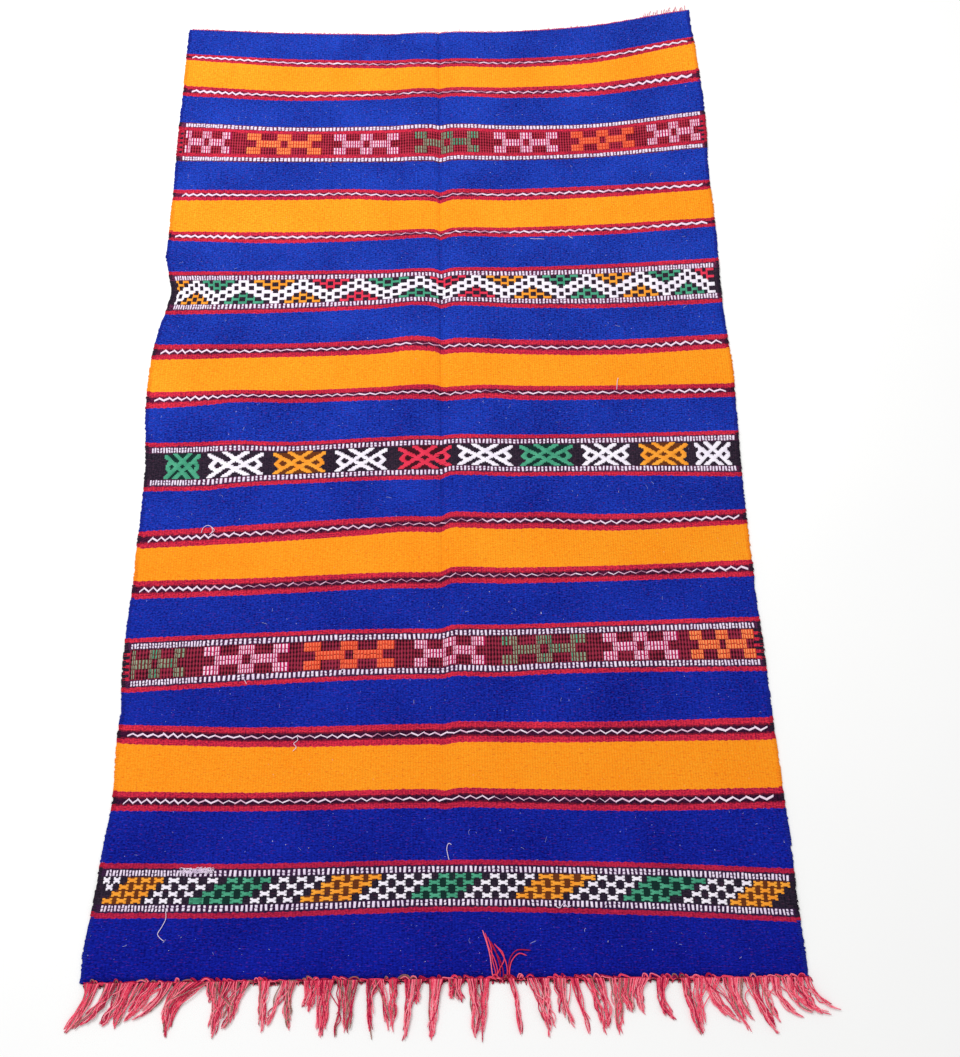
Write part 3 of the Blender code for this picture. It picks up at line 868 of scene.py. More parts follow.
def dash_row(near, far, fullness, dice):
    """One row of dashes; fullness is how much of the row is white rather than dark."""
    stitches = []
    u = DASHES_FROM + dice.uniform(-2, 2)
    while u < DASHES_TO:
        tight = abs(u) > TIGHT_FROM + 30 * math.sin(near)
        pitch = TIGHT_PITCH + 0.3 * u / 450 if tight else OPEN_PITCH - 0.6 * u / 400
        pitch *= dice.uniform(0.9, 1.1)
        width = pitch * (fullness + dice.uniform(-0.07, 0.07) + 0.06 * tight)
        low = near + 0.2 + dice.uniform(-0.5, 0.7)
        high = far - 0.2 + dice.uniform(-0.9, 0.4)
        skew = dice.uniform(-0.5, 0.5)
        pinched = 0.5 + 0.9 * noise.noise(Vector((u * 0.012, near * 0.37, 7.0)))
        if dice.random() < (0.5 if tight else pinched):
            middle = (low + high) / 2 + dice.uniform(-0.8, 0.8)
            slip = dice.uniform(-0.5, 0.5)
            stitches.append(Stitch(u, u + width, low, middle - PINCHED_GAP, skew))
            stitches.append(Stitch(u + slip, u + slip + width, middle + PINCHED_GAP, high, skew))
        else:
            stitches.append(Stitch(u, u + width, low, high, skew))
        u += pitch
    return stitches


dice = random.Random(11)
white_dashes = []
for index in BANDS:
    outside = index == DASHES_OUTSIDE
    near, far = inside_lines(index, DASH_EDGE if outside else RED_LINE + DASH_EDGE)
    fullness = 0.66 if outside else 0.48 + 0.02 * BANDS.index(index)
    white_dashes += dash_row(near, near + DASH_LENGTH, fullness, dice)
    white_dashes += dash_row(far - DASH_LENGTH, far, fullness, dice)
lay_stitches("white_dashes", white_dashes, BROCADE["lilac"])

# %% [markdown]
# ## White zigzags
#
# A single white yarn runs in a zigzag down the middle of each dark border. The weaver kept it
# tall and regular near both edges and let it wander between, so its teeth change in width and
# height as it goes. The table says where each one is worn thin and dim. Each leg is one
# stitch, slanted by its `rise`. Between its red borders the yarn looks pinkish in the picture,
# so it has three wools of its own, from nearly white to worn.

# %% Zigzag yarns
ZIGZAG_TO = 484.0
FULL_BORDER = 29.0
EVEN_FROM = 330.0
EVEN_RAMP = 90.0
LEG_LENGTH = 8.6
LEG_OVERLAP = 0.6
LEG_HALF = 0.95
TOOTH_HEIGHT = 2.8
WORN = {
    3: (60, 240), 5: (-120, -60), 9: (-330, 420), 11: (-120, 60), 15: (60, 120),
    17: (-60, 0), 21: (-120, 120), 23: (-60, 60), 27: (-120, 300), 29: (-180, 300),
}


def zigzag(index, stitches, dice):
    """One zigzag's legs, each added to the stitches of its wool."""
    section = SECTIONS[index]
    middle = (STARTS[index] + STARTS[index + 1]) / 2
    reach = min(1.0, section.length / FULL_BORDER)
    u = dice.uniform(-490, -482)
    upward = True
    while u < ZIGZAG_TO:
        wander = noise.noise(Vector((u * 0.008, index * 3.1, 0.0)))
        even = float(ease((abs(u) - EVEN_FROM) / EVEN_RAMP))
        leg = LEG_LENGTH - 1.9 * even * (u < 0) + 1.6 * abs(wander)
        leg *= dice.uniform(0.88, 1.14)
        height = TOOTH_HEIGHT + 0.8 * even - 2.0 * abs(wander)
        height *= reach * dice.uniform(0.7, 1.2)
        worn = WORN[index][0] < u < WORN[index][1]
        fuller = 0.0004 * middle + 0.4 * even - 0.35 * worn
        half = max(LEG_HALF + fuller + dice.uniform(-0.35, 0.25), 0.4)
        line = middle + 1.5 * noise.noise(Vector((u * 0.013, index * 1.7, 4.0)))
        paler = dice.random() - 0.45 * worn
        plain = "white" if paler > 0.45 or even > 0.7 else "lilac"
        stitches[plain if paler > 0 else "faint"].append(Stitch(
            u - LEG_OVERLAP, u + leg + LEG_OVERLAP, line - half, line + half,
            0.0, height if upward else -height))
        u += leg
        upward = not upward


dice = random.Random(23)
zigzag_wools = {
    "white": brocade_wool("white zigzag wool", (226, 190, 216), (255, 240, 252)),
    "lilac": brocade_wool("lilac zigzag wool", (212, 158, 188), (244, 208, 228)),
    "faint": brocade_wool("worn zigzag wool", (150, 92, 124), (214, 152, 180)),
}
teeth = {wool: [] for wool in zigzag_wools}
for index in ZIGZAGS:
    zigzag(index, teeth, dice)
for wool, stitches in teeth.items():
    lay_stitches(wool + "_zigzags", stitches, zigzag_wools[wool])

# %% [markdown]
# ## A chart
#
# A weaver reads a small motif from a chart, a row of the chart for each weft. The cross of the
# nearest band is charted here in the same way, and `follow_chart` turns each run of marks into one
# float.

# %% Reading a chart
CROSS = (
    "##...##",
    "#######",
    ".#####.",
    "#######",
    "##...##",
)


def follow_chart(chart, middle_u, middle_v, width, height):
    """Stitches for each run of marks in the chart's rows."""
    cell_u = width / len(chart[0])
    cell_v = height / len(chart)
    stitches = []
    for row, marks in enumerate(chart):
        near = middle_v + height / 2 - (row + 1) * cell_v
        start = None
        for column, mark in enumerate(marks + "."):
            if mark == "#" and start is None:
                start = column
            elif mark != "#" and start is not None:
                left = middle_u - width / 2 + start * cell_u
                right = middle_u - width / 2 + column * cell_u
                stitches.append(Stitch(left, right, near - 0.15, near + cell_v + 0.15))
                start = None
    return stitches


print("a cross is", len(follow_chart(CROSS, 0, 0, 14, 8)), "floats")

# %% [markdown]
# ## The first band: slanting fields of crosses
#
# Four rows of small crosses fill the nearest band, three of a colour in each row, and every
# row is set half a step to the left of the one above, so the colours slant. The weaver's count
# was not even, so each field has its own step at the top and at the bottom. Under the coloured
# crosses the ground shows a dark shade of the same colour, laid here as low floats.

# %% Crosses of the first band
CrossField = namedtuple("CrossField", "wool top step_top bottom step_bottom")
CROSS_FIELDS = [
    CrossField("orange", -452, 19, -481, 19), CrossField("white", -393, 27, -425, 20),
    CrossField("green", -311, 24, -359, 28), CrossField("white", -236, 26, -277, 24),
    CrossField("orange", -158, 27, -202, 27), CrossField("white", -80, 25, -119, 26),
    CrossField("green", -5, 24, -43, 25), CrossField("white", 69, 25, 32, 25),
    CrossField("orange", 144, 30, 108, 25), CrossField("white", 225, 25, 185, 27),
    CrossField("green", 299, 32, 262, 25), CrossField("white", 383, 24, 347, 24),
    CrossField("orange", 448, 19, 413, 22),
]
CROSS_SHARE = {"orange": 0.7, "green": 0.64, "white": 0.56}
CROSS_ROWS = 4
CROSSES_EACH = 3
CROSSES_TO = 491.0
SHADE_SLANT = 2.4
SHADE_LEFT = -486.0
SHADE_RIGHT = 488.0
LEFT_CROSSES = ((-487, 3), (-473, 3), (-482, 2))
LEFT_CROSS_WIDTH = 9.0
motifs = {wool: [] for wool in BROCADE}
shades = {wool: [] for wool in SHADES}
dice = random.Random(31)
field_near, field_far = inside_lines(BANDS[0], FIELD_EDGE + 0.2)
row_step = (field_far - field_near) / CROSS_ROWS
for field in CROSS_FIELDS:
    for row in range(CROSS_ROWS):
        middle_v = field_near + (row + 0.5) * row_step
        up = row / (CROSS_ROWS - 1)
        first = field.bottom + (field.top - field.bottom) * up
        step = field.step_bottom + (field.step_top - field.step_bottom) * up
        width = step * CROSS_SHARE[field.wool]
        for k in range(CROSSES_EACH):
            middle_u = first + k * step + dice.uniform(-0.8, 0.8)
            if abs(middle_u) < CROSSES_TO:
                motifs[field.wool] += follow_chart(CROSS, middle_u, middle_v, width, row_step - 2)
        if field.wool in shades:
            for part in range(4):
                near = middle_v + (part / 4 - 0.5) * row_step
                slant = (part - 2) * SHADE_SLANT
                left = max(first - step * 0.2 + slant, SHADE_LEFT)
                right = min(first + step * 2.2 + slant, SHADE_RIGHT)
                shades[field.wool].append(Stitch(left, right, near, near + row_step / 4))
for middle_u, row in LEFT_CROSSES:
    middle_v = field_near + (row + 0.5) * row_step
    motifs["white"] += follow_chart(CROSS, middle_u, middle_v, LEFT_CROSS_WIDTH, row_step - 0.6)
# One green cross grew together into a block at the near edge of its field.
for k in range(4):
    near = field_near + 0.5 + k * 2
    motifs["green"].append(Stitch(-369, -349, near, near + 2))
print({wool: len(stitches) for wool, stitches in motifs.items()})

# %% [markdown]
# ## The third band: crossed diagonals
#
# Ten large motifs stand on black. Each is four diagonals that cross and two pointed sides,
# woven row by row, so a slanting stroke climbs in steps. The strokes are given as lines in a
# box that runs from -1 to 1 each way, and a weft floats wherever it passes over one. Behind a
# coloured motif the ground is shaded with its colour, as in the first band.

# %% Diagonals of the third band
STROKES = (
    ((-0.97, 0.76), (0.45, -1.0)), ((-0.43, 0.97), (0.97, -0.97)),
    ((0.97, 0.76), (-0.45, -1.0)), ((0.43, 0.97), (-0.97, -0.97)),
    ((-0.70, 0.40), (-0.92, -0.12)), ((-0.92, -0.12), (-0.68, -0.50)),
    ((0.70, 0.40), (0.92, -0.12)), ((0.92, -0.12), (0.68, -0.50)),
)
STROKE_HALF = 3.2
STROKE_MARGIN = 3.0
FLOAT_STEP = 2.05
FLOAT_CELL = 2.0


def on_stroke(x, y, half_width, half_height):
    """Whether a point in millimetres from the motif's middle lies on one of its strokes."""
    for (x0, y0), (x1, y1) in STROKES:
        start = np.array([x0 * half_width, y0 * half_height])
        along = np.array([x1 * half_width, y1 * half_height]) - start
        away = np.array([x, y]) - start
        t = min(max(np.dot(away, along) / np.dot(along, along), 0.0), 1.0)
        if np.linalg.norm(away - t * along) < STROKE_HALF:
            return True
    return False


def woven_runs(inside, left, right, near, far, cell):
    """Floats of the rows between near and far, wherever inside says so, cell by cell."""
    stitches = []
    rows = round((far - near) / FLOAT_STEP)
    for row in range(rows):
        low = near + (far - near) * row / rows
        high = near + (far - near) * (row + 1) / rows
        start = None
        for k in range(int((right - left) / cell) + 2):
            u = left + k * cell
            if u < right and inside(u + cell / 2, (low + high) / 2):
                start = u if start is None else start
            elif start is not None:
                stitches.append(Stitch(start, u, low - 0.1, high + 0.1))
                start = None
    return stitches


THIRD = [
    ("green", -438, 62), ("white", -349, 97), ("orange", -242, 91), ("white", -139, 90),
    ("red", -32, 92), ("white", 69, 96), ("green", 172, 92), ("white", 272, 84),
    ("orange", 370, 85), ("white", 454, 64),
]
near, far = inside_lines(BANDS[2], FIELD_EDGE + 0.8)
for wool, middle, width in THIRD:
    def inside(u, v, middle=middle, half=width / 2 - STROKE_MARGIN):
        return on_stroke(u - middle, v - (near + far) / 2, half, (far - near) / 2)
    reach = width / 2 + STROKE_MARGIN
    runs = woven_runs(inside, middle - reach, middle + reach, near, far, FLOAT_CELL)
    motifs[wool] += runs
    for low in sorted({run.near for run in runs}) if wool in shades else ():
        beside = [run for run in runs if run.near == low]
        left, right = min(run.left for run in beside), max(run.right for run in beside)
        shades[wool].append(Stitch(left, right, low, beside[0].far))
print({wool: len(stitches) for wool, stitches in motifs.items()})

# %% [markdown]
# ## The fourth band: a white net
#
# The fourth band is one net of small dark holes, set like the black squares of a chessboard.
# A white path three holes deep climbs and falls through it, and the triangles above and below
# the path are coloured. Two whole numbers say where a point is in the net: `a` counts four
# steps from each bend of the path to the next, and `j` counts upwards from the band's middle.
# The places of the bends were counted off the photograph.

# %% The net and its colours
PEAKS = (-450, -361, -250, -150, -40, 60, 161, 259, 356, 442)
VALLEYS = (-411, -301, -202, -99, 9, 111, 212, 306, 402)
PEAK_WOOLS = (
    "orange", "green", "orange", "red", "green", "red", "orange", "green", "orange", "green",
)
VALLEY_WOOLS = ("green", "orange", "red", "green", "red", "orange", "green", "orange", "green")
OVER_WOOLS = ("orange",) + VALLEY_WOOLS + ("red",)
NET_LEFT = -488
NET_RIGHT = 489
NET_CELL = 1.6
NET_ROWS = 6.4
PATH_HALF = 1.75
WHITE_HOLE = (0.33, 0.58)
COLOUR_HOLE = (0.39, 0.66)
near, far = inside_lines(BANDS[3], FIELD_EDGE)
NET_STEP = (far - near) / NET_ROWS
bends = sorted(PEAKS + VALLEYS)
bends = [2 * bends[0] - bends[1]] + bends + [2 * bends[-1] - bends[-2]]
BEND_STEPS = [4.0 * k for k in range(len(bends))]


def net_wool(u, v):
    """The colour of the net at a point, or None in a hole."""
    a = float(np.interp(u, bends, BEND_STEPS))
    j = (v - (near + far) / 2) / NET_STEP
    column = round(a)
    row = column % 2 + 2 * round((j - column % 2) / 2)
    height = 2.0 - abs(a % 8.0 - 4.0)
    white = abs(j - height) < PATH_HALF
    half_a, half_j = WHITE_HOLE if white else COLOUR_HOLE
    if abs(a - column) < half_a and abs(j - row) < half_j:
        return None
    if white:
        return "white"
    if j < height:
        return PEAK_WOOLS[min(int(a // 8), len(PEAK_WOOLS) - 1)]
    return OVER_WOOLS[min(int((a + 4) // 8), len(OVER_WOOLS) - 1)]


for wool in ("white", "orange", "green", "red"):
    def inside(u, v, wool=wool):
        return net_wool(u, v) == wool
    motifs[wool] += woven_runs(inside, NET_LEFT, NET_RIGHT, near, far, NET_CELL)
print({wool: len(stitches) for wool, stitches in motifs.items()})

# %% [markdown]
# ## The second and fifth bands: bars and eyes
#
# On the ribbed ground stand wide motifs in three rows: an open block and a bar, a beam, a
# square with a dark eye, a beam, and the bar and block again. Their yarn runs lengthwise, one
# dash to a rib, and a thinner rib of red lies between the dashes. Half a motif is listed, each
# part with its share of the width and its marks from the far row to the near one.

# %% Dashes of the second and fifth bands
HALF_PARTS = ((0.128, "#.#"), (0.060, "###"), (0.218, ".#."), (0.047, "###"))
PARTS = HALF_PARTS + ((0.094, "#.#"),) + HALF_PARTS[::-1]
Wide = namedtuple("Wide", "band wool left right")
WIDES = [
    Wide(1, "sage", -498, -404), Wide(1, "pink", -376, -244), Wide(1, "flame", -221, -80),
    Wide(1, "pink", -48, 62), Wide(1, "sage", 89, 222), Wide(1, "pink", 248, 366),
    Wide(1, "coral", 385, 487), Wide(4, "pink", -491, -399), Wide(4, "coral", -369, -228),
    Wide(4, "pink", -204, -80), Wide(4, "sage", -50, 72), Wide(4, "pink", 100, 222),
    Wide(4, "flame", 246, 365), Wide(4, "pink", 390, 490),
]
DASH_SHARE = {"pink": 0.48, "coral": 0.62, "flame": 0.56, "sage": 0.47}
RIB_BESIDE = {"pink": "crimson", "coral": "ember", "flame": "ember", "sage": "rust"}
MOTIFS_TO = 488.0
DASHES_APART = 0.55
GREEN_IN_SAGE = 0.2
ribs = {wool: [] for wool in RIB_WOOLS}


def dashes(wool, u, pitch, low, high, dice):
    """One rib of a block: two dashes end to end, and the thin rib beside them."""
    width = pitch * DASH_SHARE[wool] * dice.uniform(0.9, 1.1)
    ribs[RIB_BESIDE[wool]].append(Stitch(u + width, u + pitch, low, high))
    wool = "green" if wool == "sage" and dice.random() < GREEN_IN_SAGE else wool
    middle = (low + high) / 2 + dice.uniform(-1.2, 1.2)
    skew = dice.uniform(-0.3, 0.3)
    motifs[wool].append(Stitch(u, u + width, low + 0.5, middle - DASHES_APART, skew))
    motifs[wool].append(Stitch(u, u + width, middle + DASHES_APART, high - 0.5, skew))


dice = random.Random(43)
for wide in WIDES:
    near, far = inside_lines(BANDS[wide.band], FIELD_EDGE + 1)
    row_height = (far - near) / 3
    scale = wide.right - wide.left
    left = wide.left
    for share, rows in PARTS:
        count = max(2, round(share * scale / GROUND_RIB))
        pitch = share * scale / count
        for u in (left + k * pitch for k in range(count)):
            for row, mark in enumerate(rows):
                low = far - (row + 1) * row_height
                if mark == "#" and abs(u + pitch / 2) < MOTIFS_TO:
                    dashes(wide.wool, u, pitch, low, low + row_height, dice)
        left += share * scale
print({wool: len(stitches) for wool, stitches in motifs.items()})

# %% Lay all the motifs
RIB_HEIGHT = 0.6
SHADE_HEIGHT = 0.42
SHADE_LONGEST = 8.0


def short_pieces(stitches):
    """The same floats cut short, so that they follow the hollows of the cloth."""
    pieces = []
    for stitch in stitches:
        parts = math.ceil((stitch.right - stitch.left) / SHADE_LONGEST)
        step = (stitch.right - stitch.left) / parts
        for k in range(parts):
            left = stitch.left + k * step
            pieces.append(stitch._replace(left=left, right=left + step))
    return pieces


motifs.pop("lilac")
for wool, stitches in motifs.items():
    lay_stitches(wool + "_motifs", stitches, BROCADE[wool])
for wool, stitches in ribs.items():
    lay_stitches(wool + "_ribs", stitches, RIB_WOOLS[wool], RIB_HEIGHT)
for wool, stitches in shades.items():
    lay_stitches(wool + "_shades", short_pieces(stitches), SHADES[wool], SHADE_HEIGHT)

# %% [markdown]
# ## One yarn, copied for the whole fringe
#
# The fringe is hundreds of soft yarns. A curve with a bevel for each would do, but a yarn is
# modelled once instead: a five-sided ring, extruded step by step and drawn in at the tip. Every
# copy then follows its own route, ring by ring.

# %% Model the yarn
YARN_STEPS = 20
YARN_SIDES = 5
YARN_TIP = 0.5
bpy.ops.object.select_all(action="DESELECT")
bpy.ops.mesh.primitive_circle_add(vertices=YARN_SIDES, radius=1.0, fill_type="NGON")
strand = bpy.context.object
bpy.ops.object.mode_set(mode="EDIT")
bpy.ops.mesh.select_all(action="SELECT")
for step in range(YARN_STEPS):
    bpy.ops.mesh.extrude_region_move(TRANSFORM_OT_translate={"value": (0, 0, 1.0)})
bpy.ops.transform.resize(value=(YARN_TIP, YARN_TIP, 1.0))
bpy.ops.mesh.select_all(action="SELECT")
bpy.ops.mesh.normals_make_consistent(inside=False)
bpy.ops.object.mode_set(mode="OBJECT")
YARN_CORNERS, YARN_FACES = take_shape(strand)
print("a yarn has", len(YARN_CORNERS), "corners and", len(YARN_FACES), "faces")

# %% Lay yarns along their routes
OFF_THE_FLOOR = 0.05


def smooth_route(points):
    """Even stations on the smooth curve through a few points, in table millimetres."""
    points = np.array(points, float)
    gaps = np.linalg.norm(np.diff(points, axis=0), axis=1)
    at = np.concatenate([[0.0], np.cumsum(gaps)])
    slopes = np.gradient(points, at, axis=0)
    wanted = np.linspace(0.0, at[-1], YARN_STEPS + 1)
    k = np.clip(np.searchsorted(at, wanted, side="right") - 1, 0, len(at) - 2)
    span = (at[k + 1] - at[k])[:, None]
    t = (wanted - at[k])[:, None] / span
    return smooth_between(t, span, points[k], slopes[k], points[k + 1], slopes[k + 1])


def lay_yarns(name, routes, radii, finish, slot):
    """All the yarns of one colour as one piece; a route is in table millimetres."""
    routes = np.array(routes)
    ways = np.gradient(routes, axis=1)
    ways /= np.linalg.norm(ways, axis=2, keepdims=True)
    beside = np.cross(ways, np.array([0.0, 0.0, 1.0]))
    beside /= np.linalg.norm(beside, axis=2, keepdims=True)
    above = np.cross(beside, ways)
    ring = np.rint(YARN_CORNERS[:, 2]).astype(int)
    size = np.array(radii, float)[:, None, None]
    place = routes[:, ring] + size * (
        YARN_CORNERS[:, 0][None, :, None] * beside[:, ring]
        + YARN_CORNERS[:, 1][None, :, None] * above[:, ring]
    )
    place[..., 2] = np.maximum(place[..., 2], OFF_THE_FLOOR)
    place += np.array([SHIFT_X, SHIFT_Y, 0.0])
    piece = joined_copies(name, place * MM, YARN_FACES, finish)
    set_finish(piece, slot)
    print(name + ":", len(routes), "yarns")
    return piece


# %% [markdown]
# ## Fringe wool
#
# The warps are salmon, but no two look alike: some are light, some are deep, and a few are a dull
# olive. The light and the deep are partly the yarns' own tone and partly painted light and shade,
# for the yarns on top of the heap and those under them. One wool with strong noise would blur them
# together, so there are four tones of it, and every yarn is given one of them. The tufts at the
# right look paler in the picture because they lie in more light, so more of their yarns are of the
# paler tones, as painted light. A fifth, nearly black tone is painted shadow, for the twined yarns
# along the edge.

# %% The wool of the warps
# Painted shade near the knots: how far out from the edge it starts, how far it ramps, and how
# strong it gets.
KNOT_SHADE_FROM = 24.0
KNOT_SHADE_RAMP = 26.0
KNOT_SHADE_SHARE = 0.62


def warp_wool(name, deep, light, highlight):
    """Plied warp yarn, with painted highlights on its plies and painted shade that deepens it
    towards the knots.
    """
    finish = Finish(name)
    spot = finish.object_place()
    lengths = finish.noise_at(spot, 150.0)
    ply = finish.noise_at(finish.stretched(spot, 1.0, 0.55, 1.0), 620.0)
    body = finish.blend(lengths * 1.6 - 0.3, deep, light)
    body = finish.blend((ply - 0.42) * 2.2, body, highlight)
    # Painted shade: close to the knots the yarn is blended towards its deep tone.
    from_tips = finish.axis(spot, 1) - (SHIFT_Y - KNOT_SHADE_FROM) * MM
    near_knots = from_tips * (1 / (KNOT_SHADE_RAMP * MM))
    deeper = near_knots.maths("MINIMUM", near_knots, 1.0) * KNOT_SHADE_SHARE
    finish.colour(finish.blend(deeper, body, deep))
    finish.bump(ply, 0.0006, 0.9)
    return finish.material


WARPS = {
    "salmon": warp_wool(
        "salmon warp wool", (224, 44, 84), (252, 88, 116), (255, 150, 166)),
    "light": warp_wool(
        "light salmon warp wool", (250, 100, 128), (255, 146, 162), (255, 196, 200)),
    "deep": warp_wool(
        "deep salmon warp wool", (146, 14, 54), (208, 36, 80), (240, 78, 110)),
    "olive": warp_wool(
        "olive warp wool", (126, 84, 80), (176, 126, 114), (208, 160, 148)),
    # Painted shadow: a nearly black tone for the yarns that lie in shade along the edge.
    "dark": warp_wool(
        "shadowed warp wool", (40, 14, 26), (78, 26, 42), (120, 50, 60)),
}
PALE_WARP = warp_wool(
    "bleached pink warp wool", (214, 116, 128), (236, 158, 164), (248, 200, 200))
# The light and deep tones are partly the yarns' own and partly painted light and shade.
TONES = ("salmon", "light", "deep", "olive")
TONE_SHARES = (34, 30, 22, 14)
# Painted light: the tufts at the right get more of the paler tones.
LIT_SHARES = (44, 33, 14, 9)
# Painted shade: the knots' arches get more of the deep tone.
KNOT_SHARES = (30, 16, 42, 12)
FLIPPED_SHARES = (50, 20, 30, 0)
LIT_FROM = 140.0
print(len(WARPS) + 1, "warp wools")

# %% [markdown]
# ## The near fringe
#
# The warps leave the cloth in locks, and neighbouring locks often lean together, so that they
# make a tuft with slits near the edge. Each row of the table is one lock: where its roots start
# and end, a place halfway down and its tip. A lock draws in to a point, its middle yarns are
# the longest, and every yarn has its own waver, its own level in the heap and sometimes a root
# in the lock next door.

# %% Locks, left to right
Lock = namedtuple("Lock", "root_left root_right halfway tip")
LOCKS = [
    Lock(-509, -488, (-511, -30), (-534, -63)), Lock(-482, -463, (-488, -26), (-518, -53)),
    Lock(-463, -445, (-468, -31), (-483, -52)), Lock(-447, -427, (-454, -31), (-463, -54)),
    Lock(-427, -404, (-430, -19), (-448, -46)), Lock(-402, -385, (-407, -20), (-438, -44)),
    Lock(-379, -338, (-385, -26), (-391, -65)), Lock(-339, -325, (-333, -13), (-331, -24)),
    Lock(-329, -302, (-322, -34), (-326, -68)), Lock(-303, -277, (-301, -30), (-313, -57)),
    Lock(-266, -249, (-259, -33), (-258, -63)), Lock(-237, -227, (-243, -33), (-252, -57)),
    Lock(-227, -212, (-224, -33), (-221, -60)), Lock(-202, -194, (-199, -17), (-203, -32)),
    Lock(-194, -179, (-190, -19), (-194, -39)), Lock(-185, -159, (-175, -36), (-177, -71)),
    Lock(-156, -147, (-151, -33), (-157, -70)), Lock(-147, -125, (-139, -33), (-141, -67)),
    Lock(-115, -107, (-111, -38), (-103, -78)), Lock(-106, -94, (-108, -23), (-109, -59)),
    Lock(-100, -90, (-88, -32), (-84, -63)), Lock(-83, -70, (-77, -30), (-79, -64)),
    Lock(-61, -48, (-56, -39), (-61, -77)), Lock(-48, -36, (-43, -18), (-44, -31)),
    Lock(-27, -6, (-21, -44), (-24, -76)), Lock(1, 13, (5, -16), (5, -25)),
    Lock(10, 24, (15, -17), (20, -30)), Lock(26, 43, (38, -38), (36, -78)),
    Lock(43, 59, (49, -41), (47, -79)), Lock(84, 93, (96, -33), (100, -74)),
    Lock(111, 132, (133, -38), (141, -75)), Lock(133, 143, (140, -32), (148, -64)),
    Lock(148, 160, (157, -28), (162, -56)), Lock(160, 169, (166, -39), (177, -66)),
    Lock(172, 184, (185, -33), (197, -72)), Lock(190, 203, (209, -35), (217, -73)),
    Lock(205, 219, (222, -42), (220, -67)), Lock(226, 246, (237, -44), (238, -75)),
    Lock(247, 266, (253, -32), (257, -47)), Lock(266, 284, (267, -26), (274, -50)),
    Lock(293, 311, (301, -37), (316, -57)), Lock(327, 342, (339, -40), (352, -78)),
    Lock(343, 360, (351, -40), (355, -79)), Lock(360, 382, (374, -32), (404, -63)),
    Lock(383, 397, (398, -35), (419, -75)), Lock(397, 416, (409, -37), (424, -61)),
    Lock(418, 437, (437, -42), (456, -77)), Lock(437, 451, (448, -35), (462, -64)),
    Lock(453, 468, (467, -36), (492, -58)), Lock(468, 487, (489, -36), (530, -54)),
    Lock(486, 501, (503, -34), (521, -53)), Lock(501, 509, (519, -33), (554, -51)),
]
YARN_PITCH = 1.3
YARN_RADIUS = 0.8
STRAYING = 0.14
HEAP_HEIGHT = 3.4
YARN_STATIONS = (0.0, 0.12, 0.26, 0.4, 0.55, 0.7, 0.85, 1.0)
print(len(LOCKS), "locks")

# %% Routes of the locks' yarns
def edge_y(x, v=0.0):
    """The cloth's near or far edge at x, in table millimetres."""
    return float(plan(np.array([float(x)]), np.array([v]))[1][0])


def lock_width(span, t):
    """How wide a lock is at the share t of its way down."""
    widths = (span, 0.53 * span + 0.6, 0.42 * span + 1.4, 0.34 * span + 1.4, 2.4)
    return float(np.interp(t, (0, 0.35, 0.65, 0.85, 1), widths))


def lock_routes(lock, neighbours, dice):
    """The route of every yarn in one lock; a few are rooted in a neighbour."""
    span = lock.root_right - lock.root_left
    root = np.array([(lock.root_left + lock.root_right) / 2, 0.0])
    root[1] = edge_y(root[0]) + 0.5
    halfway, tip = np.array(lock.halfway, float), np.array(lock.tip, float)
    bend = 2 * halfway - (root + tip) / 2
    aim = (tip - root) / np.linalg.norm(tip - root)
    beside = np.array([-aim[1], aim[0]])
    routes = []
    yarns = max(3, round(span / YARN_PITCH))
    for k in range(yarns):
        place = (k + 0.5) / yarns - 0.5
        arrives = np.clip(place + dice.uniform(-0.6, 0.6), -0.5, 0.5)
        reach = 1.03 - 0.2 * abs(2 * arrives) ** 2 - dice.choice((0.0, 0.02, 0.05, 0.1, 0.2))
        root_x = root[0] + span * place
        if neighbours and dice.random() < STRAYING:
            other = dice.choice(neighbours)
            root_x = dice.uniform(other.root_left, other.root_right)
        level = dice.uniform(0.0, HEAP_HEIGHT)
        phase = dice.uniform(0, 2 * math.pi)
        swing = dice.choice((0.6, 0.9, 1.4, 2.0, 3.0))
        turns = dice.uniform(1.0, 2.6)
        points = []
        for step in YARN_STATIONS:
            t = step * reach
            line = root * (1 - t) ** 2 + bend * (2 * t * (1 - t)) + tip * t**2
            across = place + (arrives - place) * float(ease(t * 1.2))
            sway = swing * math.sin(phase + turns * 6.28 * t) * ease(t * 3)
            off = across * lock_width(span, t) + sway
            turn = float(ease(t * 2.5))
            way = np.array([1.0, 0.0]) * (1 - turn) + beside * turn
            strayed = (root_x - root[0] - span * place) * (1 - ease(t * 1.6))
            spot = line + way * off + np.array([strayed, 0.0])
            spot[1] += (edge_y(root_x) - edge_y(root[0])) * (1 - turn)
            z = 2.6 * (1 - float(ease(t * 3))) + 1.0 + level * math.sin(math.pi * (0.15 + 0.7 * t))
            points.append((spot[0], spot[1], z))
        routes.append(smooth_route(points))
    return routes


print("a lock 20 mm wide is", lock_width(20, 0.5), "mm wide halfway down")

# %% Every lock's yarns, each in its tone
dice = random.Random(5)
warp_routes = {tone: [] for tone in WARPS}
for i, lock in enumerate(LOCKS):
    neighbours = [other for other in LOCKS[max(0, i - 1):i + 2]
                  if other is not lock and max(other.root_left - lock.root_right,
                                               lock.root_left - other.root_right) < 5]
    shares = TONE_SHARES if lock.root_left < LIT_FROM else LIT_SHARES
    for route in lock_routes(lock, neighbours, dice):
        warp_routes[dice.choices(TONES, shares)[0]].append(route)
print({tone: len(routes) for tone, routes in warp_routes.items()})

# %% [markdown]
# The warps are tied off before they hang free, and each knot leaves a small leaning arch of yarn
# over the cloth's last wefts. Between and below the arches the edge lies in shadow: twined yarns
# run along it and tie the locks together, and most of them are in the nearly black tone, as painted
# shadow.

# %% Knots
KNOTS_FROM = -511.0
KNOTS_TO = 500.0


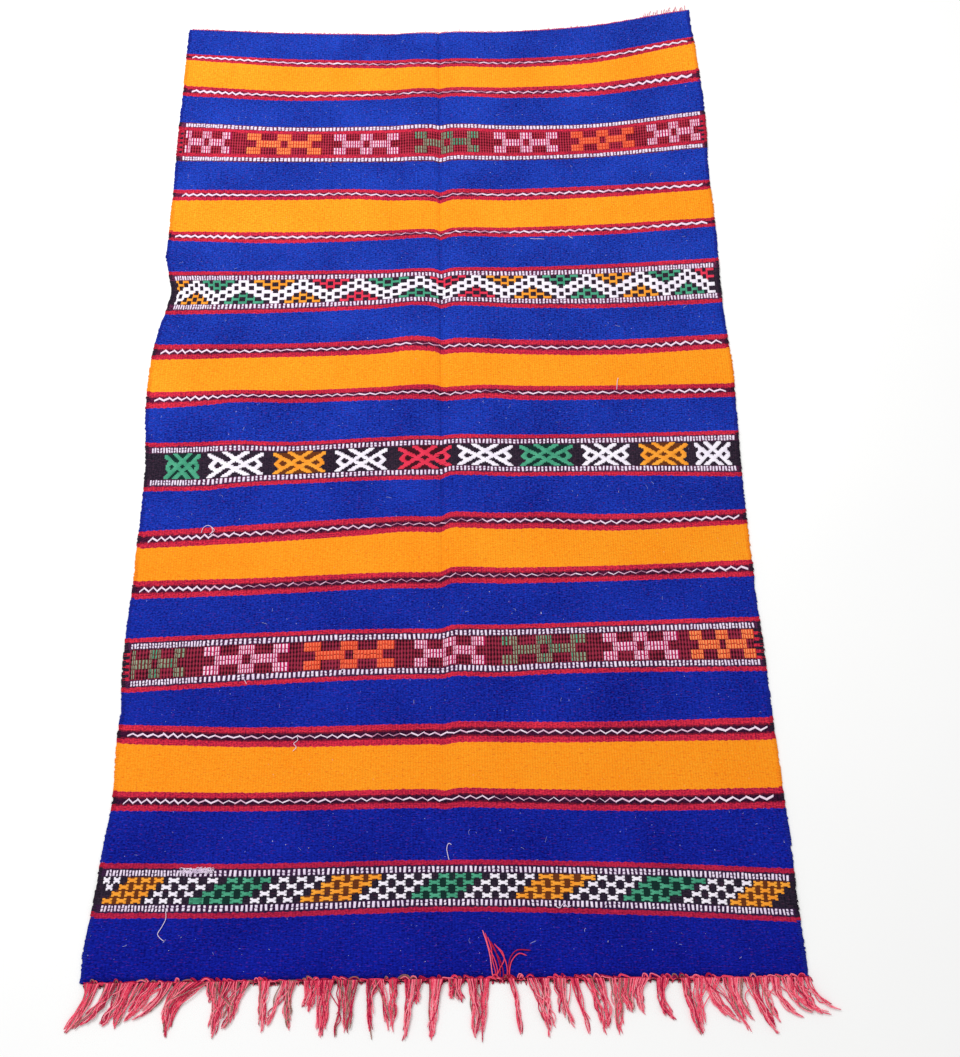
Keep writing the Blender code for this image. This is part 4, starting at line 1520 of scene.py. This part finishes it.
def over_cloth(x, y, up):
    """A table point raised above the cloth or, off its edge, above the floor."""
    inside = y - edge_y(x)
    ground = 2.2 * float(ease(inside / 1.5 + 0.8))
    return (x, y, ground + up)


x = KNOTS_FROM
while x < KNOTS_TO:
    width = dice.choice((6, 9, 12, 15, 20)) * dice.uniform(0.85, 1.15)
    reach = dice.uniform(0.5, 6.5)
    turn = dice.uniform(0.1, 0.5)
    y = edge_y(x)
    for strand in range(dice.choice((2, 2, 3, 4))):
        shift = strand * dice.uniform(1.3, 2.1)
        arch = [
            over_cloth(x + shift, y - dice.uniform(4, 7), 0.8),
            over_cloth(x + 1 + shift, y - 1, 1.5),
            over_cloth(x + width * turn + shift, y + reach - shift * 0.7, 1.5 + strand * 0.3),
            over_cloth(x + width * (turn + 0.3), y + reach * 0.8 - shift, 1.9),
            over_cloth(x + width * 0.92, y + dice.uniform(-0.5, 1.0) - shift * 0.5, 1.3),
            over_cloth(x + width + dice.uniform(0, 4), y - dice.uniform(3, 6) - shift * 0.5, 0.9),
        ]
        warp_routes[dice.choices(TONES, KNOT_SHARES)[0]].append(smooth_route(arch))
    x += width * dice.uniform(0.5, 1.1)
print(sum(len(routes) for routes in warp_routes.values()), "yarns with the knots")

# %% Twined yarns
# Most twined strands take the nearly black tone: painted shadow along the edge.
TWINED = ("deep", "dark", "salmon", "dark", "dark")
TWINED_FROM = -510
TWINED_TO = 506
TWINED_EACH = 48
TWINED_STEP = 6.5
for start in range(TWINED_FROM, TWINED_TO, TWINED_EACH):
    for strand, tone in enumerate(TWINED):
        line = []
        for k in range(9):
            x = min(start - 2 + k * TWINED_STEP, TWINED_TO)
            twine = 1.1 * math.sin(x * 0.5 + strand * 2.1)
            level = 1.3 + 0.9 * math.cos(x * 0.5 + strand * 2.1)
            line.append((x + k * 0.01, edge_y(x) + 0.9 - strand * 0.9 + twine, 1.0 + level))
        warp_routes[tone].append(smooth_route(line))
print({tone: len(routes) for tone, routes in warp_routes.items()})

# %% The tuft that was turned back over the cloth
FLIPPED = (
    ((64, -2), (62, 12), (60, 30), (56, 46), (50, 64)),
    ((68, -2), (70, 10), (66, 26), (58, 42), (54, 60)),
    ((73, -2), (74, 12), (70, 30), (64, 44), (60, 50)),
    ((78, -2), (78, 10), (74, 24), (66, 38), (58, 52)),
    ((66, -2), (74, 14), (80, 26), (78, 34), (70, 42)),
    ((82, -2), (84, 10), (82, 22), (76, 34), (66, 46)),
    ((70, -2), (66, 14), (63, 26), (62, 40), (57, 55)),
    ((86, -2), (86, 12), (88, 26), (96, 36), (118, 37)),
    ((88, -3), (87, 10), (91, 24), (102, 33), (112, 30)),
)
for path in FLIPPED:
    points = [
        over_cloth(x, y + edge_y(x), 1.1 + 0.9 * math.sin(3.0 * k / (len(path) - 1)))
        for k, (x, y) in enumerate(path)
    ]
    warp_routes[dice.choices(TONES, FLIPPED_SHARES)[0]].append(smooth_route(points))

for tone, routes in warp_routes.items():
    piece = lay_yarns(
        tone + "_fringe_yarns", routes, [YARN_RADIUS] * len(routes), WARPS[tone], "warp_fringe")
    if tone == "salmon":
        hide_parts("near_fringe")

# %% [markdown]
# ## The far end
#
# At the far end the warps are only turned back on themselves: a thin line of small loops,
# with a few frayed ends, and longer bleached ones at the right corner. They are the same
# yarn again, thinner.

# %% Loops and frayed ends
LOOPS_FROM = -496.0
LOOPS_TO = 494.0
LOOP_RADIUS = 0.6
CORNER_FROM = 405.0
FRAYED_RADIUS = 0.55


def cloth_level(x, y):
    """How high the cloth's underside is at one table point."""
    return float(lift(np.array([float(x)]), np.array([float(y)]))[0])


far_routes = []
frayed_routes = []
dice = random.Random(9)
x = LOOPS_FROM
while x < LOOPS_TO:
    width = dice.uniform(3.5, 6.0)
    reach = dice.uniform(1.6, 3.4)
    y = edge_y(x, CLOTH_LENGTH)
    level = cloth_level(x, y) + 1.0
    far_routes.append(smooth_route([
        (x, y - 1.5, level + 1.2), (x + width * 0.2, y + reach * 0.8, level),
        (x + width * 0.6, y + reach, level), (x + width, y - 1.0, level + 1.2),
    ]))
    in_corner = x > CORNER_FROM
    if dice.random() < (0.75 if in_corner else 0.1):
        length = dice.uniform(8, 17) if in_corner else dice.uniform(3, 8)
        slant = dice.uniform(-0.2, 0.5) * length
        frayed_routes.append(smooth_route([
            (x, y - 1, level + 0.8), (x + slant * 0.3, y + length * 0.4, level),
            (x + slant * 0.5, y + length * 0.7, level + 0.4), (x + slant, y + length, level),
        ]))
    x += width * 0.9
loop_radii = [LOOP_RADIUS] * len(far_routes)
far_loops = lay_yarns("far_warp_loops", far_routes, loop_radii, WARPS["salmon"], "warp_ends")
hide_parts("far_warp_ends")
frayed_radii = [FRAYED_RADIUS] * len(frayed_routes)
lay_yarns("far_frayed_ends", frayed_routes, frayed_radii, PALE_WARP, "warp_ends")

# %% [markdown]
# ## Loose ends of white yarn
#
# Where a brocade yarn runs out, the weaver leaves its end on top. About a dozen of these curl over
# the stripes. Their places were read off the photograph, but not their curls. At one spot of the
# first band a yarn has come apart into fuzz, a heap of short fibres side by side.

# %% Loose white ends
LOOSE_UP = 1.3
LOOSE_RADIUS = 0.48
FUZZ_X = (-395, -342)
FUZZ_Y = (148, 155)
FUZZ_FIBRES = 46
FUZZ_RADIUS = 0.42
LOOSE = (
    ((-404, 97), (-403, 88), (-408, 76), (-413, 66), (-409, 61), (-403, 57)),
    ((3, 160), (1, 168), (0, 177), (3, 183), (7, 181)),
    ((-227, 344), (-225, 338), (-231, 332), (-227, 327), (-232, 321)),
    ((-397, 676), (-394, 685), (-388, 689), (-382, 687), (-379, 678), (-384, 672)),
    ((-383, 688), (-376, 680), (-381, 674), (-374, 670)),
    ((298, 926), (299, 934), (300, 942), (302, 949)),
    ((160, 1239), (168, 1238), (178, 1238), (186, 1237)),
    ((230, 1244), (234, 1240), (238, 1238)),
    ((-316, 436), (-313, 433), (-310, 429), (-308, 425)),
    ((-163, 440), (-160, 445), (-156, 444), (-157, 439), (-162, 440)),
    ((154, 95), (161, 91), (168, 97), (173, 92), (178, 94)),
)


def lie_on_cloth(x, y, up):
    """A table point raised above whatever part of the cloth is under it."""
    v = np.linspace(0.0, CLOTH_LENGTH, 900)
    along = np.interp(y, plan(np.full_like(v, x), v)[1], v)
    return (x, y, cloth_level(x, y) + float(np.interp(along, STEPS, THICK_STEPS)) + up)


loose_routes = [smooth_route([lie_on_cloth(x, y, LOOSE_UP) for x, y in path]) for path in LOOSE]
dice = random.Random(3)
for k in range(FUZZ_FIBRES):
    x, y = dice.uniform(*FUZZ_X), dice.uniform(*FUZZ_Y)
    path = [(x + 2.2 * i, y + dice.uniform(-2.6, 2.6), dice.uniform(0.9, 2.2)) for i in range(5)]
    loose_routes.append(smooth_route([lie_on_cloth(*point) for point in path]))
radii = [LOOSE_RADIUS] * len(LOOSE) + [FUZZ_RADIUS] * FUZZ_FIBRES
lay_yarns("loose_white_ends", loose_routes, radii, BROCADE["lilac"], "wool_cloth")

# %% [markdown]
# ## Lint
#
# Pale fibres cling to the dark wool, most of all to the blue. Specks in the material would
# lie flat, so the longer ones are real hairs: short bent yarns about half a millimetre thick.

# %% Lint hairs on the blue
LINT = brocade_wool("lint", (120, 124, 196), (196, 198, 236))
HAIRS = 130
HAIR_UP = 0.25
HAIR_RADII = (0.16, 0.2, 0.3)
BLUES = [i for i, section in enumerate(SECTIONS) if section.kind == "blue"]
dice = random.Random(17)
hairs = []
for k in range(HAIRS):
    index = dice.choice(BLUES)
    u = dice.uniform(-485, 485)
    v = dice.uniform(STARTS[index] + 4, STARTS[index + 1] - 4)
    way = dice.uniform(0, math.pi)
    bend = dice.uniform(-0.7, 0.7)
    size = dice.choice((0.8, 1.0, 1.4, 2.0, 3.0))
    spots = []
    for step in range(4):
        turn = way + bend * step
        spots.append((u, v))
        u, v = u + size * math.cos(turn), v + size * math.sin(turn)
    laid = surface(*zip(*spots), HAIR_UP) / MM
    hairs.append(smooth_route(laid - np.array([SHIFT_X, SHIFT_Y, 0.0])))
radii = [dice.choice(HAIR_RADII) for hair in hairs]
lay_yarns("lint_hairs", hairs, radii, LINT, "wool_cloth")

# %% [markdown]
# ## Gathering the pieces
#
# The cloth is laid flat, so its flat size is the weave's own width and length. Here the cloth and
# the pieces on it, the brocade, the zigzags and both ends, are gathered and their triangles
# counted.

# %% Gather the pieces and count their triangles
extras = [piece for piece in bpy.context.scene.objects if piece.type == "MESH"
          and piece.get("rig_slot") and piece != cloth]
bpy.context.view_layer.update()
triangles = {
    piece.name: sum(len(face.vertices) - 2 for face in piece.data.polygons)
    for piece in [cloth] + extras
}
print(triangles, "in all", sum(triangles.values()))
